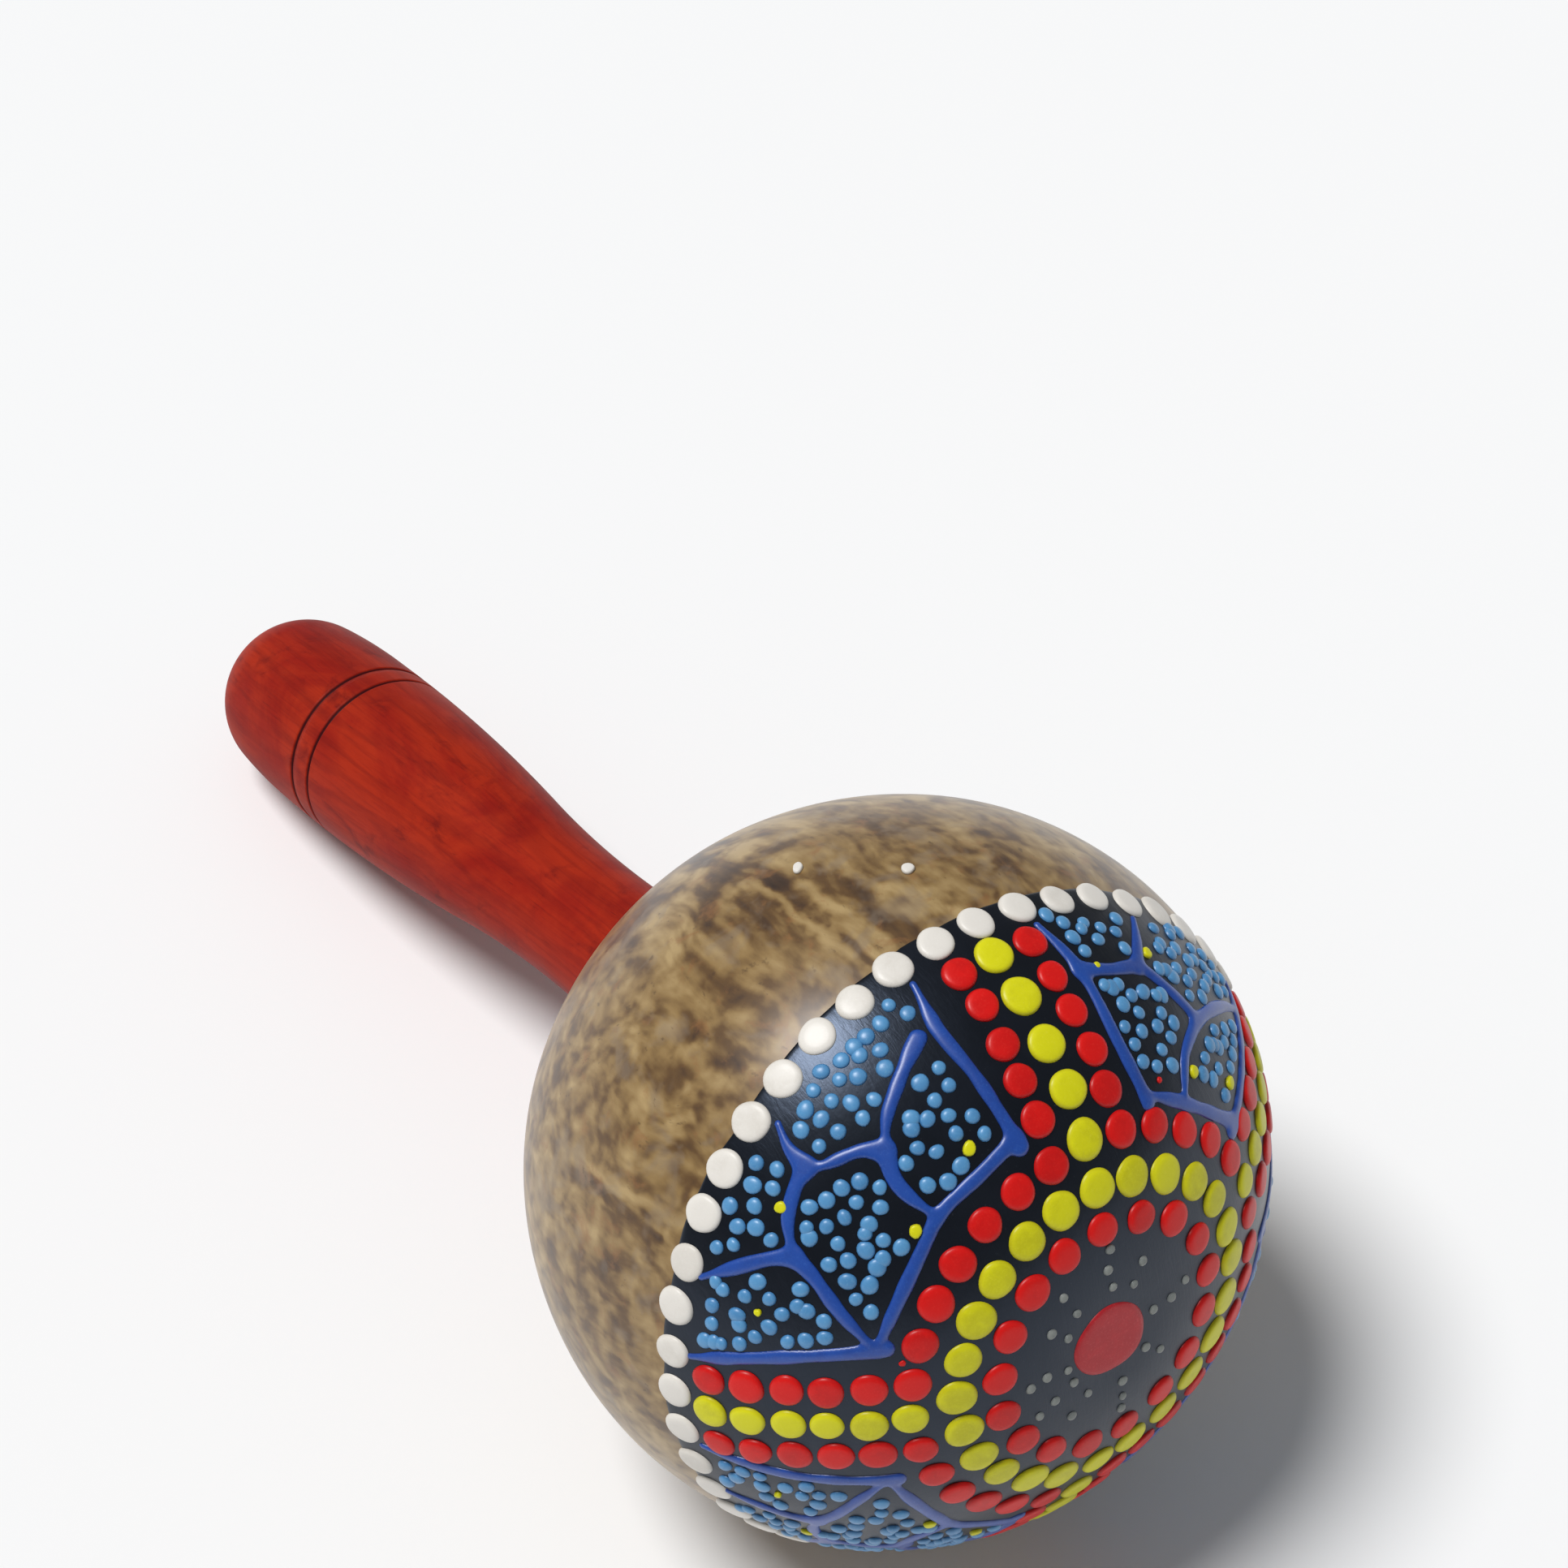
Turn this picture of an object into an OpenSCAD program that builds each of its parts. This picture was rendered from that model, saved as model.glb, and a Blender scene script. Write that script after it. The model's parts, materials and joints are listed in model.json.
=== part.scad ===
// Coconut maraca, lying on a flat surface on its nut and its butt.
// Millimetres, +Z up, +X towards the painted pole, origin under the middle of the outline.

/* [Nut] */
// Radius of the nut at its widest
shell_r = 46.5; // [42:0.5:52]
// Radius of the flattened spot at the painted pole
pole_flat_r = 5.5; // [4.5:0.25:9]
// Thickness of the cleaned nut's wall
wall = 4; // [3:0.25:6]

/* [Handle] */
// Length from the back of the nut to the end of the butt
handle_l = 111.5; // [100:0.5:130]
// Radius at the thinnest part of the neck
neck_r = 9.2; // [8.5:0.1:10.5]
// Distance from the back of the nut to the thinnest part
neck_pos = 21; // [16:0.5:28]
// Radius of the hollow arc along the neck
neck_arc = 190; // [140:5:260]
// Radius of the straight band at the widest part of the grip
band_r = 13.05; // [12.7:0.05:14.5]
// Length of the straight band
band_l = 4; // [2:0.5:6]
// Distance from the end of the butt to the middle of the band
band_pos = 25.5; // [22:0.5:32]
// Radius of the rounded butt
butt_r = 12.4; // [11:0.1:12.5]
// Radius of the tenon that sits in the nut
tenon_r = 7; // [5:0.25:8]
// Length of the tenon, measured inwards from the back of the nut
tenon_l = 12; // [8:0.5:16]

/* [Grooves] */
// Distance from the straight band to the first groove
groove_gap = 2.7; // [1.5:0.1:10]
// Distance between the two grooves
groove_pitch = 4.3; // [2:0.1:8]
// Width of each groove at the surface
groove_w = 0.9; // [0.4:0.1:1.5]
// Depth of each groove
groove_d = 0.5; // [0.2:0.1:1]

/* [Glue] */
// Thickness of the glue film between handle and nut
glue_t = 0.15; // [0.05:0.05:0.3]
// Radius of the bead squeezed out round the neck
glue_bead = 0.7; // [0.4:0.1:1.2]

/* [Paint] */
// Thickness of the black ground coat
coat_t = 0.2; // [0.1:0.05:0.4]
// Reach of the ground coat from the pole, along the surface
coat_reach = 58; // [56:0.5:62]
// Radius of the red disc at the pole
disc_r = 4.8; // [2.5:0.1:5.4]
// Height of the red disc
disc_h = 0.5; // [0.3:0.05:1]
// Distance of the rings' middle from the pole, fading out towards the white border
ring_off = 1.5; // [0:0.1:1.8]
// Turn towards which the rings' middle is off the pole
ring_turn = 225; // [0:5:355]
// Distance of the inner red ring from the rings' middle, along the surface
inner_ring = 15.6; // [14:0.1:15.8]
// Distance of the yellow ring from the rings' middle, along the surface
yellow_ring = 20.7; // [20.5:0.1:21]
// Distance of the outer red ring from the rings' middle, along the surface
outer_ring = 26; // [25.8:0.1:26.4]
// Distance of the white border from the edge of the ground coat
border_in = 2.6; // [2.5:0.1:4]
// Distance of an arm's first yellow dot from the rings' middle, along the surface
arm_start = 26.6; // [26:0.1:27.5]
// Distance of a row's first red dot from the rings' middle, along the surface
row_start = 31.2; // [31:0.1:33]
// Distance between the middle of an arm and its red rows
arm_side = 5.1; // [4.9:0.1:6]
// Radius of a white dot
white_r = 2.35; // [1.6:0.05:2.5]
// Radius of a yellow dot
yellow_r = 2.2; // [1.5:0.05:2.25]
// Radius of a red dot
red_r = 2.15; // [1.5:0.05:2.2]
// Height of a dot above the ground coat
dot_h = 0.55; // [0.3:0.05:0.8]
// Spacing of the dots in the arms, the rows and the outer red ring
dot_pitch = 5; // [4.8:0.1:6.5]
// Spacing of the dots in the inner red ring
inner_pitch = 5.75; // [4.8:0.05:6.5]
// Spacing of the dots in the yellow ring
yellow_pitch = 5.4; // [4.8:0.05:6.5]
// Spacing of the white dots
white_pitch = 6; // [5.6:0.1:8]
// How far a dot strays from its even place
dot_stray = 0.2; // [0:0.05:0.25]

/* [Seeds] */
// Radius of a rattle seed
seed_r = 3; // [2:0.1:3.5]
// Gap between neighbouring seeds
seed_gap = 0.6; // [0.4:0.1:1]
// Gap between a seed and the nut under it
seed_seat = 0.3; // [0.2:0.05:0.5]
// Rings of seeds round the middle one
seed_rings = 2; // [1:1:2]

/* [Hidden] */
$fn = 96;
arc_steps = 720;
arc_points = 16;
BARK = "#8f7550";
STAIN = "#a52a19";
BEAD = "#cdbb98";
GROUND = "#121216";
WHITE = "#ebe6e0";
YELLOW = "#d7d71c";
RED = "#dd1a14";
DISC = "#bb2c2c";
SEED = "#6a4a2c";

// The nut's outline is the arc of the back, the arc of the shoulder and the flat spot
shoulder_r = shell_r - pole_flat_r;
reach = 3 * shell_r;

// Places along the handle are distances from the middle of the nut
handle_end = shell_r + handle_l;
neck_s = shell_r + neck_pos;
band_end = handle_end - band_pos + band_l / 2;
band_start = band_end - band_l;
butt_s = handle_end - butt_r;
swell = band_r - neck_r;
belly_l = band_start - neck_s;
belly_arc = (belly_l * belly_l + swell * swell) / (2 * swell) - neck_arc;
belly_s = neck_s + belly_l * neck_arc / (neck_arc + belly_arc);
taper_l = butt_s - band_end;
taper_arc = (taper_l * taper_l + band_r * band_r - butt_r * butt_r) / (2 * (band_r - butt_r));
taper_turn = atan(taper_l / (taper_arc - band_r));
turn_s = butt_s + butt_r * sin(taper_turn);
tip_s = shell_r - tenon_l;
handle_outline = concat(
    [[0, -tip_s]],
    [for (s = steps(tip_s, belly_s, 0)) [neck_at(s), -s]],
    [for (s = steps(belly_s, band_start, 1)) [belly_at(s), -s]],
    [for (s = steps(band_end, turn_s, 0)) [taper_at(s), -s]],
    [for (a = steps(taper_turn, 90, 1)) [butt_r * cos(a), -butt_s - butt_r * sin(a)]]
);
groove_places = [band_start - groove_gap, band_start - groove_gap - groove_pitch];
bore_r = tenon_r + glue_t;
foot_r = neck_at(sqrt(shell_r * shell_r - neck_r * neck_r));
foot_s = sqrt(shell_r * shell_r - foot_r * foot_r);

// Lying pose: nut and butt both touch the surface
tilt = asin((shell_r - butt_r) / butt_s);
front_x = pole_flat_r * sin(tilt) + shoulder_r + coat_t;
back_x = butt_s * cos(tilt) + butt_r;
nut_x = (back_x - front_x) / 2;

// Turns of the arms of the star, and of the first dot of each ring, with 180 on the upper side
arms = [101, 172, 267, 350];
white_turn = -1;
yellow_turn = 7.5;
inner_turn = 4;
// Spacing of the yellow dots in each arm, in spacings of the dots
arm_spacing = [1, 1.2, 1, 1];
border_ring = coat_reach - border_in;
row_end = border_ring - white_r - red_r - 2 * dot_stray;

// Parallel lanes of the seeds, a hexagon of rings
lane = 2 * seed_r + seed_gap;
lanes = [
    for (q = [-seed_rings : seed_rings], r = [-seed_rings : seed_rings])
        if (abs(q + r) <= seed_rings) [lane * (q + r / 2), lane * r * sqrt(3) / 2]
];
seed_names = [for (i = [1 : len(lanes)]) str("seed_", i)];

// Radius of the neck's hollow arc at a place along the handle
function neck_at(s) = neck_r + neck_arc - sqrt(neck_arc * neck_arc - (s - neck_s) * (s - neck_s));

// Radius of the belly's arc at a place along the handle
function belly_at(s) = band_r - belly_arc + sqrt(belly_arc * belly_arc - (band_start - s) * (band_start - s));

// Radius of the taper's arc at a place along the handle
function taper_at(s) = band_r - taper_arc + sqrt(taper_arc * taper_arc - (s - band_end) * (s - band_end));

// Even steps from one value to another, with the first left out where it is there already
function steps(from, to, first) = [for (i = [first : arc_points]) from + (to - from) * i / arc_points];

// Angle of the surface's normal at a distance from the pole
function normal_at(d) = max(0, d - pole_flat_r) / shoulder_r * 180 / PI;

// Distance from the axis, and height, of the coated surface at a distance from the pole
function coat_x(d) = min(d, pole_flat_r) + (shoulder_r + coat_t) * sin(normal_at(d));
function coat_z(d) = (shoulder_r + coat_t) * cos(normal_at(d));

// Small stray of a hand-laid dot, the same at each build
function stray(turn, d) = rands(-dot_stray, dot_stray, 2, round(turn + 360 * d / shell_r));

// Turn about the axis that moves a dot sideways by a length
function sideways(length, d) = length / coat_x(d) * 180 / PI;

// Turn and distance from the pole of a place that is given from the rings' middle
function drawn(turn, d) =
    let (
        off = ring_off * (1 - d / border_ring),
        x = d * cos(turn) + off * cos(ring_turn),
        y = d * sin(turn) + off * sin(ring_turn)
    )
    [atan2(y, x), norm([x, y])];

// Even places from one value to another at about the given spacing
function spread(from, to, pitch) =
    let (n = max(1, round((to - from) / pitch)))
    [for (i = [0 : n]) from + (to - from) * i / n];

// Half outline of the nut, grown outwards by a length
module nut_half(grow = 0) {
    intersection() {
        circle(r = shell_r + grow, $fn = arc_steps);
        translate([0, -reach]) square(reach);
    }
    intersection() {
        translate([pole_flat_r, 0]) circle(r = shoulder_r + grow, $fn = arc_steps);
        translate([pole_flat_r, 0]) square(reach);
    }
    square([pole_flat_r, shoulder_r + grow]);
}

module shell_half() {
    difference() {
        nut_half();
        nut_half(-wall);
        translate([0, -2 * shell_r]) square([bore_r, 2 * shell_r]);
    }
}

module groove_half(s) {
    r = belly_at(s);
    polygon([[r - groove_d, -s], [r + groove_d, -s - groove_w], [r + groove_d, -s + groove_w]]);
}

module handle_half() {
    difference() {
        polygon(handle_outline);
        difference() {
            nut_half(glue_t);
            translate([0, -neck_s]) square([tenon_r, neck_s]);
        }
        for (s = groove_places) groove_half(s);
    }
}

module glue_half() {
    difference() {
        union() {
            intersection() {
                nut_half(glue_t);
                translate([tenon_r, -2 * shell_r]) square([foot_r - tenon_r, 2 * shell_r - foot_s + wall]);
            }
            translate([foot_r, -foot_s]) circle(r = glue_bead);
        }
        nut_half(-wall);
        shell_half();
        handle_half();
    }
}

// Lays the maraca, built upright about its axis, on the surface
module laid() {
    translate([nut_x, 0, shell_r]) rotate([0, 90 - tilt, 0]) children();
}

module turned() {
    laid() rotate_extrude() children();
}

// A raised dot of paint: a low dome on a flat base
module dot(r, h) {
    ball = (r * r + h * h) / (2 * h);
    rotate_extrude() intersection() {
        translate([0, h - ball]) circle(r = ball, $fn = arc_steps);
        square([r, h]);
    }
}

// Sets a piece on the coat at a place that is given from the rings' middle
module on_coat(turn, d) {
    at = drawn(turn, d);
    rotate([0, 0, at[0]]) translate([coat_x(at[1]), 0, coat_z(at[1])])
        rotate([0, normal_at(at[1]), 0]) children();
}

module laid_dot(turn, d, r) {
    off = stray(turn, d);
    on_coat(turn + sideways(off[1], d), d + off[0]) dot(r, dot_h);
}

// A closed ring of dots
module dot_ring(d, r, pitch, first) {
    n = round(2 * PI * coat_x(d) / pitch);
    for (i = [0 : n - 1]) laid_dot(first + 360 * i / n, d, r);
}

// The outer red ring runs from arm to arm
module broken_ring() {
    side = sideways(arm_side, outer_ring);
    step = sideways(dot_pitch, outer_ring);
    for (i = [0 : len(arms) - 1]) {
        next = i + 1 < len(arms) ? arms[i + 1] : arms[0] + 360;
        for (turn = spread(arms[i] + side, next - side, step)) laid_dot(turn, outer_ring, red_r);
    }
}

module shell() { color(BARK) turned() shell_half(); }

module handle() { color(STAIN) turned() handle_half(); }

module glue_joint() { color(BEAD) turned() glue_half(); }

module ground_coat() {
    edge = normal_at(coat_reach);
    color(GROUND) turned() difference() {
        intersection() {
            nut_half(coat_t);
            polygon([
                [0, 0],
                [pole_flat_r, 0],
                [pole_flat_r + reach * sin(edge), reach * cos(edge)],
                [0, reach]
            ]);
        }
        nut_half();
    }
}

module white_dots() { color(WHITE) laid() dot_ring(border_ring, white_r, white_pitch, white_turn); }

module yellow_dots() {
    color(YELLOW) laid() {
        dot_ring(yellow_ring, yellow_r, yellow_pitch, yellow_turn);
        for (i = [0 : len(arms) - 1], d = spread(arm_start, row_end, arm_spacing[i] * dot_pitch))
            laid_dot(arms[i], d, yellow_r);
    }
}

module red_dots() {
    color(RED) laid() {
        dot_ring(inner_ring, red_r, inner_pitch, inner_turn);
        broken_ring();
        for (turn = arms, d = spread(row_start, row_end, dot_pitch), hand = [-1, 1])
            laid_dot(turn + hand * sideways(arm_side, d), d, red_r);
    }
}

module pole_disc() { color(DISC) laid() on_coat(0, 0) dot(disc_r, disc_h); }

module seed(at) {
    floor_r = shell_r - wall - seed_r - seed_seat;
    drop = sqrt(floor_r * floor_r - at[0] * at[0] - at[1] * at[1]);
    color(SEED) translate([nut_x + at[0], at[1], shell_r - drop]) sphere(r = seed_r);
}

shell();
handle();
glue_joint();
ground_coat();
white_dots();
yellow_dots();
red_dots();
pole_disc();
for (i = [0 : len(lanes) - 1])
    seed(lanes[i]);
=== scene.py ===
"""Looks of the coconut maraca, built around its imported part: bark, stained wood, paint, light and camera."""

import json
import logging
import math
import random
from dataclasses import dataclass, field
from enum import Enum
from typing import Iterable, Sequence

import bmesh
import bpy
from bmesh.types import BMVert
from bpy.types import Material, Node, NodeSocket, NodeTree, Object
from mathutils import Matrix, Vector, kdtree, noise

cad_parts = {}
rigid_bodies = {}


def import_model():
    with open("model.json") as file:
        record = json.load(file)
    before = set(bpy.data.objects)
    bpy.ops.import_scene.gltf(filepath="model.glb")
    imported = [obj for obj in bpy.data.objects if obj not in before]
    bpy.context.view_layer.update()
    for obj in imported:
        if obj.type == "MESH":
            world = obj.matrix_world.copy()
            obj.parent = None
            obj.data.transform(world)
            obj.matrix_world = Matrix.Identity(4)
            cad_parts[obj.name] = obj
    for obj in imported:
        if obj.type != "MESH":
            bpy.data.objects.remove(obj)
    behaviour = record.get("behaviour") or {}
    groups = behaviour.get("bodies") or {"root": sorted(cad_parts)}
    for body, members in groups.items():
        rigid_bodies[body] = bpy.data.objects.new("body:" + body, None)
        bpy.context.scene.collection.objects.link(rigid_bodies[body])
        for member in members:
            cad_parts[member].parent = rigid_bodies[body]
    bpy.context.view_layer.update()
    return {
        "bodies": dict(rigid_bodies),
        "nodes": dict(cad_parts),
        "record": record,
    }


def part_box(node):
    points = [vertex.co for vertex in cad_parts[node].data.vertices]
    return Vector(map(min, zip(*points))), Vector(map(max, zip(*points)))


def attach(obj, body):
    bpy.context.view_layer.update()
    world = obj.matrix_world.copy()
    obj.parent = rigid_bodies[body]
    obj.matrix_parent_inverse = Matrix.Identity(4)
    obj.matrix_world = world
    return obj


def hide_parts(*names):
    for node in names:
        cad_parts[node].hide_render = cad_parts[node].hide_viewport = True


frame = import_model()

LOG = logging.getLogger("maraca")
MM = 0.001
WELD = 0.001 * MM
TAU = 2 * math.pi
IMAGE_SIZE = 1932
BODY = "maraca"
NET_SIDES = 2

Colour = tuple[float, float, float, float]
Pair = tuple[float, float]
Triple = tuple[float, float, float]
Place = Pair


def screen(red: int, green: int, blue: int) -> Colour:
    """Linear colour of an 8-bit screen colour.

    Args:
        red: Red, 0 to 255.
        green: Green, 0 to 255.
        blue: Blue, 0 to 255.

    Returns:
        The colour as linear red, green, blue and a full alpha.
    """
    def linear(step: int) -> float:
        """One channel in linear light."""
        share = step / 255
        return share / 12.92 if share <= 0.04045 else ((share + 0.055) / 1.055) ** 2.4

    return linear(red), linear(green), linear(blue), 1.0


def fade(low: float, high: float, value: float) -> float:
    """Smooth step from 0 at the low value to 1 at the high one."""
    share = min(1.0, max(0.0, (value - low) / (high - low)))
    return share * share * (3 - 2 * share)


# Forms

@dataclass(frozen=True)
class NutForm:
    """Form of the nut about its own axis, in metres, with the painted pole at +Z.

    A place on it is a turn about the axis in degrees, with 180 on the upper side,
    and a distance from the pole along the surface.
    """

    radius: float
    flat: float = 5.5 * MM
    wall: float = 4.0 * MM
    bore: float = 7.15 * MM
    coat: float = 0.2 * MM
    unevenness: float = 0.3 * MM
    uneven_scales: Pair = (34.0, 130.0)
    uneven_shares: Triple = (0.5, 0.44, 0.06)
    fine_shift: Triple = (7.0, 3.0, 1.0)
    even_back: float = 13.0 * MM

    @property
    def shoulder(self) -> float:
        """Radius of the arc between the flat spot and the widest ring."""
        return self.radius - self.flat

    @property
    def girth(self) -> float:
        """Distance from the pole to the widest ring."""
        return self.flat + self.shoulder * math.pi / 2

    def lean(self, d: float) -> float:
        """Angle between the axis and the normal.

        Args:
            d: Distance from the pole.

        Returns:
            The angle in radians.
        """
        if d <= self.flat:
            return 0.0
        if d <= self.girth:
            return (d - self.flat) / self.shoulder
        return math.pi / 2 + (d - self.girth) / self.radius

    def outline(self, d: float, depth: float = 0.0) -> Pair:
        """Radius and height of the round form at a distance from the pole.

        Args:
            d: Distance from the pole along the outer surface.
            depth: How far under the outer surface.

        Returns:
            Distance from the axis, and height along it.
        """
        angle = self.lean(d)
        if d <= self.flat:
            return d, self.shoulder - depth
        if d <= self.girth:
            arm = self.shoulder - depth
            return self.flat + arm * math.sin(angle), arm * math.cos(angle)
        arm = self.radius - depth
        return arm * math.sin(angle), arm * math.cos(angle)

    def back_end(self, reach: float, depth: float = 0.0) -> float:
        """Distance from the pole at which the back comes within a reach of the axis."""
        return self.girth + self.radius * (math.pi / 2 - math.asin(reach / (self.radius - depth)))

    def normal(self, turn: float, d: float) -> Vector:
        """Outward direction at a place."""
        angle, about = self.lean(d), math.radians(turn)
        return Vector((math.sin(angle) * math.cos(about), math.sin(angle) * math.sin(about), math.cos(angle)))

    def aside(self, turn: float, d: float, way: float) -> Vector:
        """Direction along the surface at a place.

        Args:
            turn: Turn about the axis, in degrees.
            d: Distance from the pole.
            way: Angle from the way round the axis, in radians.

        Returns:
            The direction.
        """
        up = self.normal(turn, d)
        east = Vector((0, 0, 1)).cross(up)
        east = east.normalized() if east.length > 1e-4 else Vector((1, 0, 0))
        return east * math.cos(way) + up.cross(east) * math.sin(way)

    def hollow(self, point: Vector) -> float:
        """How far the real nut lies under its round form, even round the handle's foot.

        Args:
            point: Point on the round form.

        Returns:
            The depth there.
        """
        coarse_scale, fine_scale = self.uneven_scales
        mean, coarse, fine = self.uneven_shares
        wave = noise.noise(point * coarse_scale)
        ripple = noise.noise(point * fine_scale + Vector(self.fine_shift))
        aside = math.hypot(point.x, point.y)
        even = fade(self.even_back, 2 * self.even_back, aside) if point.z < 0 else 1.0
        return self.unevenness * even * (mean + coarse * wave + fine * ripple)

    def plain(self, turn: float, d: float) -> Vector:
        """Point on the round form.

        Args:
            turn: Turn about the axis, in degrees.
            d: Distance from the pole.

        Returns:
            The point in the nut's own frame.
        """
        out, up = self.outline(d)
        about = math.radians(turn)
        return Vector((out * math.cos(about), out * math.sin(about), up))

    def spot(self, turn: float, d: float, lift: float = 0.0) -> Vector:
        """Point on the real surface, or lifted off it.

        Args:
            turn: Turn about the axis, in degrees.
            d: Distance from the pole.
            lift: Height above the bare surface.

        Returns:
            The point in the nut's own frame.
        """
        point = self.plain(turn, d)
        return point + self.normal(turn, d) * (lift - self.hollow(point))

    def settle(self, point: Vector) -> Place:
        """Place that is nearest to a point.

        Args:
            point: A point near the surface.

        Returns:
            Turn about the axis in degrees, and distance from the pole.
        """
        turn = math.degrees(math.atan2(point.y, point.x))
        aside = math.hypot(point.x, point.y)
        if point.z < 0:
            return turn, self.girth + self.radius * (math.atan2(aside, point.z) - math.pi / 2)
        if aside <= self.flat:
            return turn, aside
        return turn, self.flat + self.shoulder * math.atan2(aside - self.flat, point.z)

    def press(self, point: Vector, lift: float) -> Vector:
        """A point moved straight onto the real surface, at a lift."""
        return self.spot(*self.settle(point), lift)


@dataclass(frozen=True)
class HandleForm:
    """Outline of the turned handle, in metres, as a radius at each distance behind the nut's middle."""

    nut: NutForm
    length: float = 111.5 * MM
    neck_r: float = 9.2 * MM
    neck_pos: float = 21.0 * MM
    neck_arc: float = 190.0 * MM
    band_r: float = 13.05 * MM
    band_l: float = 4.0 * MM
    band_pos: float = 25.5 * MM
    butt_r: float = 12.4 * MM
    tenon_r: float = 7.0 * MM
    tenon_l: float = 12.0 * MM
    tenon_bevel: float = 0.6 * MM
    groove_gap: float = 2.7 * MM
    groove_pitch: float = 4.3 * MM
    groove_w: float = 0.8 * MM
    groove_d: float = 0.42 * MM
    groove_hollow: float = 0.8
    groove_near: float = 1.2 * MM
    glue: float = 0.15 * MM
    step: float = 0.9 * MM
    fine_step: float = 0.1 * MM
    butt_steps: int = 36

    @property
    def end(self) -> float:
        """Far end of the butt."""
        return self.nut.radius + self.length

    @property
    def neck(self) -> float:
        """Thinnest place of the neck."""
        return self.nut.radius + self.neck_pos

    @property
    def band_start(self) -> float:
        """Start of the straight band."""
        return self.end - self.band_pos - self.band_l / 2

    @property
    def band_end(self) -> float:
        """End of the straight band."""
        return self.band_start + self.band_l

    @property
    def butt(self) -> float:
        """Middle of the round butt."""
        return self.end - self.butt_r

    @property
    def grooves(self) -> Pair:
        """Places of the two cut grooves."""
        first = self.band_start - self.groove_gap
        return first, first - self.groove_pitch

    @property
    def foot_r(self) -> float:
        """Radius of the neck where it meets the nut."""
        return self.plain(math.sqrt(self.nut.radius ** 2 - self.neck_r ** 2))

    def plain(self, s: float) -> float:
        """Radius of the handle without its grooves.

        Args:
            s: Distance behind the nut's middle.

        Returns:
            The radius there.
        """
        swell = self.band_r - self.neck_r
        run = self.band_start - self.neck
        belly_arc = (run * run + swell * swell) / (2 * swell) - self.neck_arc
        belly = self.neck + run * self.neck_arc / (self.neck_arc + belly_arc)
        if s <= belly:
            return self.neck_r + self.neck_arc - math.sqrt(self.neck_arc ** 2 - (s - self.neck) ** 2)
        if s <= self.band_start:
            return self.band_r - belly_arc + math.sqrt(belly_arc ** 2 - (self.band_start - s) ** 2)
        if s <= self.band_end:
            return self.band_r
        taper = self.butt - self.band_end
        drop = self.band_r - self.butt_r
        taper_arc = (taper * taper + self.band_r ** 2 - self.butt_r ** 2) / (2 * drop)
        turn = math.atan(taper / (taper_arc - self.band_r))
        if s <= self.butt + self.butt_r * math.sin(turn):
            return self.band_r - taper_arc + math.sqrt(taper_arc ** 2 - (s - self.band_end) ** 2)
        return math.sqrt(max(0.0, self.butt_r ** 2 - (s - self.butt) ** 2))

    def groove(self, s: float) -> float:
        """Share of a groove's depth that is cut away at a place, 0 off the grooves."""
        near = min(abs(s - place) for place in self.grooves) / (self.groove_w / 2)
        return max(0.0, 1 - near) ** self.groove_hollow

    def stations(self) -> list[float]:
        """Places along the handle, closer together at the grooves and the end.

        Returns:
            Distances behind the nut's middle, from foot to butt.
        """
        start = math.sqrt((self.nut.radius + self.glue) ** 2 - self.foot_r ** 2)
        places, s = [start], start
        while s < self.butt:
            near = min(abs(s - place) for place in self.grooves) < self.groove_near
            s += self.fine_step if near else self.step
            places.append(s)
        last = math.asin((s - self.butt) / self.butt_r)
        places += [self.butt + self.butt_r * math.sin(last + (math.pi / 2 - last) * i / self.butt_steps)
                   for i in range(1, self.butt_steps + 1)]
        return places


# Meshes

def placed(name: str, data: bpy.types.ID) -> Object:
    """A new object in the scene.

    Args:
        name: Name of the object.
        data: Its mesh, lamp or camera.

    Returns:
        The object.
    """
    made = bpy.data.objects.new(name, data)
    bpy.context.scene.collection.objects.link(made)
    return made


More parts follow.
